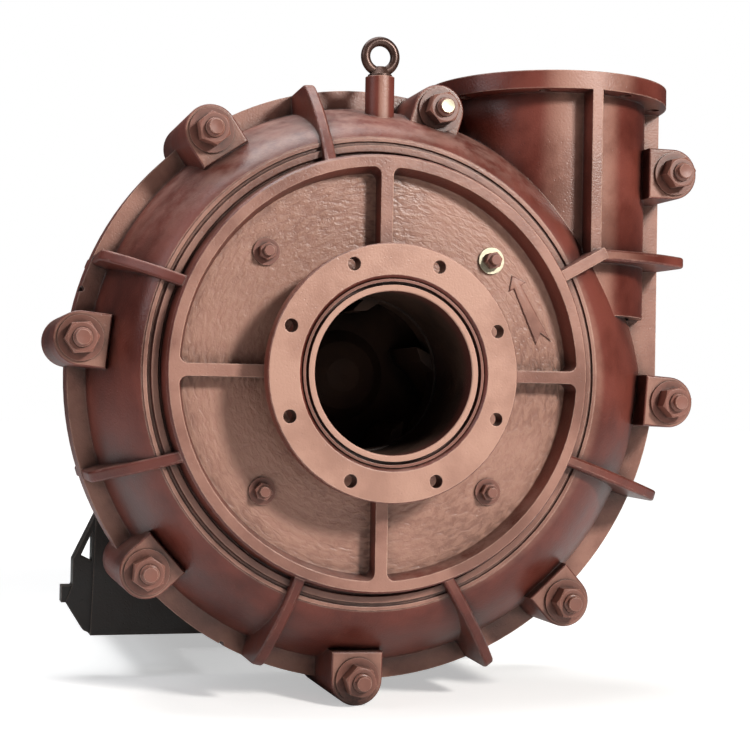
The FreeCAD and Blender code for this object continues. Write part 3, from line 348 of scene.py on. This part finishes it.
# %% Materials: primed fasteners
def primed_fastener(name, bare_at, bare_r):
    """Primer with bright metal within bare_r of the place bare_at."""
    made, tree, shader = blank(name)
    edges = use(tree, cast_edges, {"Radius": 0.0016, "Breakup": 150.0})
    skin = use(tree, sand_skin, {"Grain": 500.0, "Wave": 60.0, "Pits": 0.0})
    # through the primer: edges lightened (worn paint and painted highlight), corners darkened (painted shade)
    paint = use(tree, oxide_primer, {"Pale": 0.26, "Edge": edges["Edge"], "Corner shade": edges["Corner shade"],
                                     "Mottle": skin["Mottle"]})
    away = put(tree, "VectorMath", {0: put(tree, "TexCoord").outputs["Object"], 1: bare_at},
               operation="DISTANCE").outputs["Value"]
    chipped = math_of(tree, "ADD", away, math_of(tree, "MULTIPLY", skin["Height"], 0.004))
    bare = ramp(tree, chipped, bare_r, bare_r - 0.002)
    colour = blend_colours(tree, bare, paint["Color"], srgb(188, 180, 158))
    rough = put(tree, "Mix", {0: bare, 2: paint["Roughness"], 3: 0.42}).outputs[0]
    tree.links.new(bare, shader.inputs["Metallic"])
    finish_surface(tree, shader, colour, rough, skin["Height"], 0.0004, 0.4, edges["Normal"])
    return made


top_bolt = (0.146, SPLIT_Y - 0.220, AXIS_Z + 0.531)
recess_nut = (0.318 * math.cos(math.pi / 4), RECESS_FLOOR_Y, AXIS_Z + 0.318 * math.sin(math.pi / 4))
primed_bolts = primed_fastener("primed_bolts", top_bolt, 0.017)
primed_washers = primed_fastener("primed_washers", recess_nut, 0.034)
print("two fastener materials made")

# %% [markdown]
# ## The dark base
#
# The base and the bearing housing carry a dull, nearly black coat, kept this dark partly as painted shade
# for a base that stands in the shadow of the casing. It has lost its colour along the edges, where the grey
# undercoat shows, and the lighter edges are partly a painted highlight; dust lies on its flats, and its
# corners are painted darker as painted shade.

# %% Material: dark base coat
dark_base_coat, tree, shader = blank("dark_base_coat")
edges = use(tree, cast_edges, {"Radius": 0.004, "Breakup": 45.0})
skin = use(tree, sand_skin, {"Grain": 220.0, "Wave": 12.0, "Pits": 0.35})
dust = use(tree, settled_dust, {"Amount": 0.45})
# near-black coat: its own colour, made darker as painted shade
coat = blend_colours(tree, skin["Mottle"], srgb(30, 26, 24), srgb(46, 38, 34))
# lighter edges: grey undercoat showing, and painted highlight
coat = blend_colours(tree, math_of(tree, "MULTIPLY", edges["Edge"], 0.7), coat, srgb(134, 112, 100))
coat = blend_colours(tree, dust["Dust"], coat, srgb(112, 100, 90))
# darker corners: painted shade
coat = blend_colours(tree, math_of(tree, "MULTIPLY", edges["Corner shade"], 0.7), coat, srgb(16, 13, 12))
rough = ramp(tree, skin["Mottle"], 0.0, 1.0, 0.42, 0.60)
finish_surface(tree, shader, coat, rough, skin["Height"], 0.0020, 0.5, edges["Normal"])
print("dark_base_coat:", len(tree.nodes), "nodes")

# %% [markdown]
# ## Hard iron
#
# The wetted parts are cast in hard white iron and stay bare. Stored in a yard they turn brown, and the
# brown is kept very dark, partly as painted shade for the bore, which the lamps would otherwise light.
# Edges are painted lighter, as wear and as painted highlight, and corners near-black as painted shade.
# The spray that reached into the suction left primer on the first part of the throat, so the colour
# passes from primer to iron with the distance along the shaft.

# %% Material: hard iron
hard_iron, tree, shader = blank("hard_iron")
edges = use(tree, cast_edges, {"Radius": 0.003})
skin = use(tree, sand_skin, {"Grain": 180.0, "Wave": 16.0, "Pits": 0.7})
shaft = use(tree, about_shaft)
# the front face of the throat gets the pale primer tone: a painted sheen, as on the casing's forward flats
paint = use(tree, oxide_primer, {"Pale": ramp(tree, shaft["Along"], SUCTION_FACE_Y + 0.008, SUCTION_FACE_Y + 0.006),
                                 "Edge": edges["Edge"], "Mottle": 0.15})
# dark brown: rust, made darker as painted shade for the unlit bore
iron = blend_colours(tree, skin["Mottle"], srgb(46, 34, 29), srgb(84, 60, 48))
# edges lightened (wear and painted highlight), corners darkened (painted shade)
iron = blend_colours(tree, edges["Edge"], iron, srgb(112, 96, 86))
iron = blend_colours(tree, math_of(tree, "MULTIPLY", edges["Corner shade"], 0.8), iron, srgb(14, 10, 9))
mist = math_of(tree, "ADD", shaft["Along"], math_of(tree, "MULTIPLY", skin["Height"], 0.02))
sprayed = ramp(tree, mist, SUCTION_FACE_Y + 0.080, SUCTION_FACE_Y + 0.022)
colour = blend_colours(tree, sprayed, iron, paint["Color"])
tree.links.new(ramp(tree, mist, SUCTION_FACE_Y + 0.022, SUCTION_FACE_Y + 0.080, 0.0, 0.45), shader.inputs["Metallic"])
rough = ramp(tree, skin["Mottle"], 0.0, 1.0, 0.50, 0.72)
finish_surface(tree, shader, colour, rough, skin["Height"], 0.0020, 0.5, edges["Normal"])
print("hard_iron:", len(tree.nodes), "nodes")

# %% [markdown]
# ## Turned steel
#
# The shaft, its sleeve and the bearing rings come off the lathe and the grinder. The tool leaves fine
# rings round the shaft: a noise that changes along the shaft only, kept so fine that it just stretches
# the highlights. A smear of preservative oil gives a warm cast.

# %% Material: turned steel
turned_steel, tree, shader = blank("turned_steel")
edges = use(tree, cast_edges, {"Radius": 0.0012, "Breakup": 120.0})
skin = use(tree, sand_skin, {"Grain": 400.0, "Wave": 30.0, "Pits": 0.0})
shaft = use(tree, about_shaft)
lathe_at = put(tree, "CombineXYZ", {0: math_of(tree, "MULTIPLY", shaft["Radius"], 900.0),
                                    1: math_of(tree, "MULTIPLY", shaft["Along"], 1400.0)}).outputs[0]
rings = put(tree, "TexNoise", {"Vector": lathe_at, "Scale": 1.0, "Detail": 2.0}).outputs[0]
steel = blend_colours(tree, skin["Mottle"], srgb(168, 163, 156), srgb(196, 193, 188))
# corners darkened to brown: painted shade
steel = blend_colours(tree, math_of(tree, "MULTIPLY", edges["Corner shade"], 0.8), steel, srgb(60, 46, 38))
rough = math_of(tree, "ADD", ramp(tree, skin["Mottle"], 0.0, 1.0, 0.24, 0.36), math_of(tree, "MULTIPLY", rings, 0.06))
finish_surface(tree, shader, steel, rough, rings, 0.00012, 0.35, edges["Normal"])
shader.inputs["Metallic"].default_value = 1.0
print("turned_steel:", len(tree.nodes), "nodes")

# %% [markdown]
# ## Zinc, brass, iron, rubber and braid
#
# The small parts share one recipe: two tones mixed by the mottle, a lighter edge that is partly wear and
# partly painted highlight, and a dark corner that is painted shade. The table below holds what differs.
# Zinc passivation has a faint yellow bloom, brass goes dull, and the gland is bare grey iron with a thin
# coat of rust.


# %% Materials of the small parts
def small_part(name, dark, light, edge_wear_and_highlight, metallic, rough, depth, grain=420.0):
    """Two-tone finish: dark and light are mixed by the mottle; the edge colour lightens the edges, as wear and as a
    painted highlight, and corners are darkened as painted shade.
    """
    made, tree, shader = blank(name)
    edges = use(tree, cast_edges, {"Radius": 0.0014, "Breakup": 140.0})
    skin = use(tree, sand_skin, {"Grain": grain, "Wave": 40.0, "Pits": 0.1})
    tone = blend_colours(tree, skin["Mottle"], srgb(*dark), srgb(*light))
    # edges lightened (wear and painted highlight), corners darkened (painted shade)
    tone = blend_colours(tree, edges["Edge"], tone, srgb(*edge_wear_and_highlight))
    tone = blend_colours(tree, math_of(tree, "MULTIPLY", edges["Corner shade"], 0.75), tone, srgb(26, 20, 17))
    gloss = ramp(tree, skin["Mottle"], 0.0, 1.0, rough - 0.07, rough + 0.07)
    finish_surface(tree, shader, tone, gloss, skin["Height"], depth, 0.4, edges["Normal"])
    shader.inputs["Metallic"].default_value = metallic
    return made


zinc_plate = small_part("zinc_plate", (176, 170, 146), (205, 203, 190), (226, 224, 216), 1.0, 0.34, 0.0002)
dull_brass = small_part("dull_brass", (150, 112, 58), (190, 152, 84), (222, 190, 120), 1.0, 0.36, 0.0002)
gland_iron = small_part("gland_iron", (82, 62, 52), (112, 98, 88), (150, 140, 132), 0.7, 0.48, 0.0008, 260.0)
joint_rubber = small_part("joint_rubber", (20, 19, 19), (34, 32, 31), (52, 49, 47), 0.0, 0.62, 0.0004)
eye_steel = small_part("eye_steel", (58, 38, 32), (92, 66, 56), (176, 150, 138), 0.45, 0.34, 0.0006, 200.0)
print("zinc_plate, dull_brass, gland_iron, joint_rubber, eye_steel made")

# %% [markdown]
# Square braid is plaited from yarns that cross at an angle. Two sets of bands that run in opposite
# spirals round the shaft give the diamonds, and where both are high the braid bulges.

# %% Material: greased braid
greased_braid, tree, shader = blank("greased_braid")
shaft = use(tree, about_shaft)
spiral = math_of(tree, "MULTIPLY", shaft["Angle"], 30.0)
step = math_of(tree, "MULTIPLY", shaft["Along"], 900.0)
one_way = math_of(tree, "SINE", math_of(tree, "ADD", spiral, step))
other_way = math_of(tree, "SINE", math_of(tree, "SUBTRACT", spiral, step))
weave = math_of(tree, "MAXIMUM", one_way, other_way)
yarn = blend_colours(tree, ramp(tree, weave, -0.6, 0.9), srgb(62, 54, 40), srgb(168, 152, 112))
finish_surface(tree, shader, yarn, ramp(tree, weave, -1.0, 1.0, 0.72, 0.5), weave, 0.0010, 0.8)
print("greased_braid:", len(tree.nodes), "nodes")

# %% [markdown]
# ## Which part wears which finish
#
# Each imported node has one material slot, named in the record. The table gives a finish for each slot,
# and a few nodes that differ from their slot follow it.

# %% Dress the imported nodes
finish_of_slot = {
    "casing_primer": primed_casing, "base_paint": dark_base_coat, "white_iron": hard_iron,
    "machined_steel": turned_steel, "zinc_fasteners": zinc_plate, "seal_rubber": joint_rubber,
    "braided_packing": greased_braid, "gland_iron": gland_iron, "brass_fittings": dull_brass,
}
finish_of_node = {
    "casing_bolts": primed_bolts, "casing_nuts": primed_bolts, "casing_washers": primed_bolts,
    "front_liner_nuts": primed_bolts, "front_liner_washers": primed_washers,
    "suction_joint_ring": primed_bolts, "lifting_eyebolt": eye_steel,
}
for part in frame["record"]["subparts"]:
    name = part["node"]
    dressed = finish_of_node.get(name, finish_of_slot[part["material_slot"]])
    for slot in nodes[name].material_slots:
        slot.material = dressed


# %% [markdown]
# ## Surfaces from arrays
#
# The new pieces are grids of points. One helper turns a grid into a mesh: neighbouring points become
# four-cornered faces, and either direction can close on itself.

# %% Grid to mesh
def placed(name, mesh, material, sharp_deg=38.0):
    """Object of a mesh, shaded smooth except across edges sharper than sharp_deg."""
    mesh.polygons.foreach_set("use_smooth", np.ones(len(mesh.polygons), bool))
    mesh.set_sharp_from_angle(angle=math.radians(sharp_deg))
    mesh.materials.append(material)
    made = bpy.data.objects.new(name, mesh)
    bpy.context.scene.collection.objects.link(made)
    return made


def inside_cm3(made):
    """Volume in cubic centimetres, a sixth of the sum of a . (b x c) over triangles: positive if faces point out."""
    mesh = made.data
    mesh.calc_loop_triangles()
    corners = np.empty(len(mesh.vertices) * 3)
    mesh.vertices.foreach_get("co", corners)
    corners = corners.reshape(-1, 3)
    index = np.empty(len(mesh.loop_triangles) * 3, int)
    mesh.loop_triangles.foreach_get("vertices", index)
    a, b, c = (corners[index.reshape(-1, 3)[:, i]] for i in range(3))
    return float((a * np.cross(b, c)).sum() / 6 * 1e6)


def grid_piece(name, points, material, close_rows=False, close_columns=True, caps=False):
    """Mesh from an array of points[row, column]. caps closes both ends of a tube with one point each."""
    rows, columns = points.shape[:2]
    index = np.arange(rows * columns).reshape(rows, columns)
    if close_rows:
        index = np.vstack([index, index[:1]])
    if close_columns:
        index = np.hstack([index, index[:, :1]])
    quads = np.stack([index[:-1, :-1], index[:-1, 1:], index[1:, 1:], index[1:, :-1]], -1).reshape(-1, 4)
    verts, faces = points.reshape(-1, 3), quads.tolist()
    if caps:
        verts = np.vstack([verts, points[0].mean(0), points[-1].mean(0)])
        first, last = index[0], index[-1]
        faces += [(rows * columns, b, a) for a, b in zip(first, first[1:])]
        faces += [(rows * columns + 1, a, b) for a, b in zip(last, last[1:])]
    mesh = bpy.data.meshes.new(name)
    mesh.from_pydata(verts.tolist(), [], [tuple(int(i) for i in f) for f in faces])
    return placed(name, mesh, material)


def joined(name, parts):
    """One object from several: their meshes are put together in order."""
    verts, faces, start = [], [], 0
    for part in parts:
        verts += [tuple(v.co) for v in part.data.vertices]
        faces += [tuple(start + i for i in p.vertices) for p in part.data.polygons]
        start = len(verts)
    mesh = bpy.data.meshes.new(name)
    mesh.from_pydata(verts, [], faces)
    made = placed(name, mesh, parts[0].data.materials[0])
    for part in parts:
        bpy.data.objects.remove(part)
    return made


print("grid helpers ready")

# %% [markdown]
# ## The turning arrow
#
# A slurry pump mustn't run backwards, so an arrow is cast on the recess floor, a few millimetres proud.
# It could be modelled by pushing a flat face up, but then its walls would be upright, and a casting needs
# sloping ones to leave the sand. So a small profile (foot, shoulder, top) is carried round the outline.
# At each corner the profile is moved along m = (n1 + n2) / (1 + n1 . n2), where n1 and n2 are the outward
# ways of the two edges that meet there, which keeps the walls parallel to the outline.


# %% The arrow
def raised_plate(name, outline, profile, material):
    """Plate on the recess floor. outline: (x, height over shaft) corners; profile: (outward, proud) steps."""
    corners = np.array(outline)
    turn = np.roll(corners, -1, 0)
    if (corners[:, 0] * turn[:, 1] - turn[:, 0] * corners[:, 1]).sum() < 0:
        corners = corners[::-1]
    edge = np.roll(corners, -1, 0) - corners
    edge /= np.linalg.norm(edge, axis=1)[:, None]
    out_next = np.stack([edge[:, 1], -edge[:, 0]], 1)
    out_last = np.roll(out_next, 1, 0)
    mitre = (out_next + out_last) / (1 + (out_next * out_last).sum(1))[:, None]
    points = np.empty((len(profile), len(corners), 3))
    for level, (outward, proud) in enumerate(profile):
        flat = corners + outward * mitre
        points[level] = np.stack([flat[:, 0], np.full(len(flat), RECESS_FLOOR_Y - proud), AXIS_Z + flat[:, 1]], 1)
    levels, count = points.shape[:2]
    index = np.arange(levels * count).reshape(levels, count)
    index = np.hstack([index, index[:, :1]])
    walls = np.stack([index[:-1, :-1], index[:-1, 1:], index[1:, 1:], index[1:, :-1]], -1).reshape(-1, 4)
    faces = walls.tolist() + [index[-1, :-1].tolist(), index[0, :-1][::-1].tolist()]
    mesh = bpy.data.meshes.new(name)
    mesh.from_pydata(points.reshape(-1, 3).tolist(), [], faces)
    return placed(name, mesh, material)


ARROW_TIP, ARROW_WAY = np.array((0.2695, 0.1970)), np.array((0.461, -0.887))
ARROW_LEFT = np.array((ARROW_WAY[1], -ARROW_WAY[0]))
dart = [(0.0, 0.0), (0.0232, 0.0182), (0.0232, 0.0073), (0.1400, 0.0147), (0.1240, -0.0030),
        (0.1460, -0.0147), (0.0232, -0.0073), (0.0232, -0.0182)]
turning_arrow = raised_plate("turning_arrow", [ARROW_TIP + along * ARROW_WAY + left * ARROW_LEFT for along, left in dart],
                             [(0.0014, -0.0010), (0.0006, 0.0020), (-0.0002, 0.0034), (-0.0016, 0.0040)], primed_casing)
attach(turning_arrow, "pump_body")
print("turning_arrow:", round(inside_cm3(turning_arrow), 2), "cm3")

# %% [markdown]
# ## Threads
#
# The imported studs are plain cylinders, which is right for the simulation but looks bare. A thread is a
# cylinder whose radius rises and falls with the turn: r = crest - depth * tooth(y / pitch - angle / 2 pi),
# where tooth goes from 0 to 1 and back over each turn. Evaluated on a grid of angle and length it gives
# the whole rod at once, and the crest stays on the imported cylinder, so nuts still clear it.


# %% Threaded rods
def threaded_rod(name, x, height, y0, y1, radius, pitch, thread0, thread1, material, turn_steps=20):
    """Rod along Y with a thread between thread0 and thread1 and a chamfer at both ends."""
    steps = 5
    threaded = np.arange(thread0, thread1, pitch / steps)
    chamfer = radius * 0.12
    along = np.unique(np.concatenate([[y0, y0 + chamfer, y1 - chamfer, y1], threaded]))
    angle = np.linspace(0, 2 * math.pi, turn_steps, endpoint=False)
    phase = np.mod(along[:, None] / pitch - angle[None, :] / (2 * math.pi), 1.0)
    tooth = np.abs(2 * phase - 1.0)
    cut = np.clip((along - thread0) / pitch, 0, 1) * np.clip((thread1 - along) / pitch, 0, 1)
    profile = radius - 0.6 * pitch * tooth * cut[:, None]
    ends = np.where((along == y0) | (along == y1), chamfer, 0.0)
    profile = np.minimum(profile, radius - ends[:, None])
    points = np.empty((*profile.shape, 3))
    points[..., 0] = x + profile * np.cos(angle)
    points[..., 1] = along[:, None]
    points[..., 2] = height + profile * np.sin(angle)
    return grid_piece(name, points[:, ::-1], material, caps=True)


def restud(name, node, places, radius, pitch, thread_from, thread_to, material):
    """Replace the plain rods of a node by threaded ones at the same (x, height) places."""
    low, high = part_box(node)
    rods = [threaded_rod(f"{name}_{i}", x, z, low.y, high.y, radius, pitch, thread_from, thread_to, material)
            for i, (x, z) in enumerate(places)]
    made = joined(name, rods) if len(rods) > 1 else rods[0]
    made.name = name
    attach(made, "pump_body")
    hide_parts(node)
    print(f"{name}: {len(made.data.polygons)} faces, {inside_cm3(made):.1f} cm3")
    return made


def ring_places(radius, count, first_deg):
    """(x, height) places on a circle about the shaft."""
    turns = np.radians(first_deg + 360 / count * np.arange(count))
    return [(float(radius * np.cos(a)), float(AXIS_Z + radius * np.sin(a))) for a in turns]


low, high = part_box("gland_studs")
restud("threaded_gland_studs", "gland_studs", [(-0.138, AXIS_Z), (0.138, AXIS_Z)], 0.009, 0.0025,
       high.y - 0.078, high.y - 0.001, zinc_plate)
low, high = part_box("frame_studs")
restud("threaded_frame_studs", "frame_studs", ring_places(0.350, 8, 22.5), 0.012, 0.003,
       high.y - 0.036, high.y - 0.001, zinc_plate)
low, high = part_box("adjusting_screw")
restud("threaded_adjusting_screw", "adjusting_screw", [(0.0, AXIS_Z - 0.262)], 0.012, 0.003,
       low.y + 0.080, high.y - 0.001, zinc_plate)
low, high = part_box("back_liner_studs")
restud("threaded_back_liner_studs", "back_liner_studs", ring_places(0.262, 4, 45), 0.010, 0.0025,
       high.y - 0.030, high.y - 0.001, zinc_plate)
low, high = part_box("front_liner_studs")
restud("threaded_front_liner_studs", "front_liner_studs", ring_places(0.318, 4, 45), 0.010, 0.0025,
       low.y + 0.001, low.y + 0.030, primed_bolts)

# %% [markdown]
# ## The casing bolts
#
# The big bolts come through from behind and end in a turned point, thinner than the thread, with a centre
# mark from the lathe. Head, shank, thread and point are one surface: the radius is a function of the
# place along the bolt and of the angle. In the head it is that of a hexagon,
# r = (across / 2) / cos(angle within a side), held inside a cone that takes the corners off.


# %% Casing bolts
def casing_bolt(name, x, height, turn, material, columns=36):
    """One bolt along Y: its point faces -Y, its head is at +Y. The radius is worked out for every station."""
    end, thread_end, head_y, head_end = (SPLIT_Y + t for t in (-0.220, -0.175, 0.095, 0.120))
    stem_r, point_r, across, pitch = 0.019, 0.0148, 0.057, 0.004
    point_end = end + 0.010
    thread = np.arange(point_end + 0.002, thread_end, pitch / 5)
    stations = np.concatenate([[end + 0.0012, end, end + 0.0015, point_end, point_end + 0.0015], thread,
                               [thread_end + 0.004, head_y, head_y, head_end - 0.004, head_end]])
    angle = np.radians(turn) + np.linspace(0, 2 * math.pi, columns, endpoint=False)
    tooth = np.abs(2 * np.mod(thread[:, None] / pitch - angle[None, :] / (2 * math.pi), 1.0) - 1.0)
    hexagon = across / 2 / np.cos(np.mod(angle - np.radians(turn), math.pi / 3) - math.pi / 6)
    ones = np.ones((1, columns))
    radius = np.vstack([0.0022 * ones, (point_r - 0.0015) * ones, point_r * ones, point_r * ones, (stem_r - 0.001) * ones,
                        stem_r - 0.0022 * tooth, stem_r * ones, stem_r * ones,
                        hexagon[None], hexagon[None], np.minimum(hexagon, 0.475 * across)[None]])
    points = np.empty((*radius.shape, 3))
    points[..., 0] = x + radius * np.cos(angle)
    points[..., 1] = stations[:, None]
    points[..., 2] = height + radius * np.sin(angle)
    return grid_piece(name, points[:, ::-1], material, caps=True)


# where each bolt passes through the lugs: x, height over the shaft, turn of its head in degrees
bolt_places = [(-0.559, 0.057, 174), (-0.425, -0.385, 222), (-0.005, -0.600, 269), (0.433, -0.452, 312),
               (0.660, -0.044, 356), (0.662, 0.430, 0), (0.146, 0.531, 73), (-0.316, 0.463, 124)]
turned_bolts = joined("turned_casing_bolts", [casing_bolt(f"bolt_{i}", x, AXIS_Z + z, turn, primed_bolts)
                                              for i, (x, z, turn) in enumerate(bolt_places)])
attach(turned_bolts, "pump_body")
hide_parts("casing_bolts")
print(f"turned_casing_bolts: {len(turned_bolts.data.polygons)} faces, {inside_cm3(turned_bolts):.0f} cm3")

# %% [markdown]
# ## Floor, light and camera
#
# The pump stands on a plain pale floor that fades into the backdrop. A large soft lamp high on the right
# and in front models the ribs and leaves the undercuts dark, a wide panel overhead keeps the floor pale,
# and a weak cool panel on the left gives the shell its grey sheen.

# %% Floor
floor_z = cad_box[0].z
floor_paint, tree, shader = blank("pale_floor")
spot = put(tree, "VectorMath", {0: put(tree, "TexCoord").outputs["Object"]}, operation="LENGTH").outputs["Value"]
fleck = put(tree, "TexNoise", {"Scale": 3.0, "Detail": 4.0}).outputs[0]
finish_surface(tree, shader, blend_colours(tree, fleck, srgb(240, 240, 240), srgb(246, 246, 246)), None)
shader.inputs["Roughness"].default_value = 0.9
shader.inputs["Specular IOR Level"].default_value = 0.2
shader.inputs["Emission Color"].default_value = (1.0, 1.0, 1.0, 1.0)
seen = put(tree, "LightPath").outputs["Is Camera Ray"]
tree.links.new(math_of(tree, "MULTIPLY", ramp(tree, spot, 1.0, 4.0, 0.45, 1.0), seen), shader.inputs["Emission Strength"])
mesh = bpy.data.meshes.new("floor")
reach = 30.0
mesh.from_pydata([(-reach, -reach, floor_z), (reach, -reach, floor_z), (reach, reach, floor_z), (-reach, reach, floor_z)],
                 [], [(0, 1, 2, 3)])
mesh.materials.append(floor_paint)
floor = bpy.data.objects.new("floor", mesh)
bpy.context.scene.collection.objects.link(floor)
print("floor at z =", round(floor_z, 4))


# %% Light
def soft_lamp(name, place, aim, size, watts, tint=(1.0, 1.0, 1.0)):
    """Square area lamp at place, turned so that its -Z points at aim."""
    data = bpy.data.lights.new(name, "AREA")
    data.size, data.energy, data.color = size, watts, tint
    made = bpy.data.objects.new(name, data)
    made.location = place
    made.rotation_euler = (Vector(aim) - Vector(place)).to_track_quat("-Z", "Y").to_euler()
    bpy.context.scene.collection.objects.link(made)
    return made


soft_lamp("key", (2.4, -5.1, 3.0), (0.0, -0.9, 0.5), 0.8, 285, (1.0, 0.97, 0.92))
soft_lamp("overhead", (-0.5, -0.2, 4.2), (0.0, -0.5, 0.0), 3.2, 125)
soft_lamp("left_sheen", (-3.4, -1.6, 2.6), (0.0, -0.8, 0.6), 1.8, 32, (0.90, 0.95, 1.0))
world = bpy.data.worlds.new("studio")
bpy.context.scene.world = world
world.use_nodes = True
sky = world.node_tree
backdrop = sky.nodes["Background"]
seen = sky.nodes.new("ShaderNodeLightPath").outputs["Is Camera Ray"]
level = sky.nodes.new("ShaderNodeMapRange")
level.inputs[3].default_value, level.inputs[4].default_value = 0.055, 1.0
sky.links.new(seen, level.inputs["Value"])
sky.links.new(level.outputs[0], backdrop.inputs["Strength"])
backdrop.inputs["Color"].default_value = (1.0, 1.0, 1.0, 1.0)
bpy.context.scene.view_settings.view_transform = "Standard"
print("three lamps and a white backdrop")

# %% [markdown]
# The camera stands low and to the left of the pump and looks slightly across it, so the right side of
# the shell turns away and the base shows behind it on the left. Turning the camera by yaw, pitch and
# roll is clearer as a matrix: its columns are the camera's right, up and backward directions.

# %% Camera
CAMERA_PLACE = (-0.8822, -3.7681, 0.5100)
YAW, PITCH, ROLL = math.radians(14.22), math.radians(0.86), math.radians(1.04)
ahead = Vector((math.sin(YAW) * math.cos(PITCH), math.cos(YAW) * math.cos(PITCH), math.sin(PITCH)))
level_right = Vector((math.cos(YAW), -math.sin(YAW), 0.0))
level_up = level_right.cross(ahead)
right = level_right * math.cos(ROLL) + level_up * math.sin(ROLL)
up = right.cross(ahead)
lens = bpy.data.cameras.new("camera")
lens.lens, lens.sensor_width, lens.shift_x = 75.23, 36.0, 0.10
camera = bpy.data.objects.new("camera", lens)
camera.matrix_world = Matrix.Translation(CAMERA_PLACE) @ Matrix((right, up, -ahead)).transposed().to_4x4()
bpy.context.scene.collection.objects.link(camera)
bpy.context.scene.camera = camera
print("camera with a", lens.lens, "mm lens")
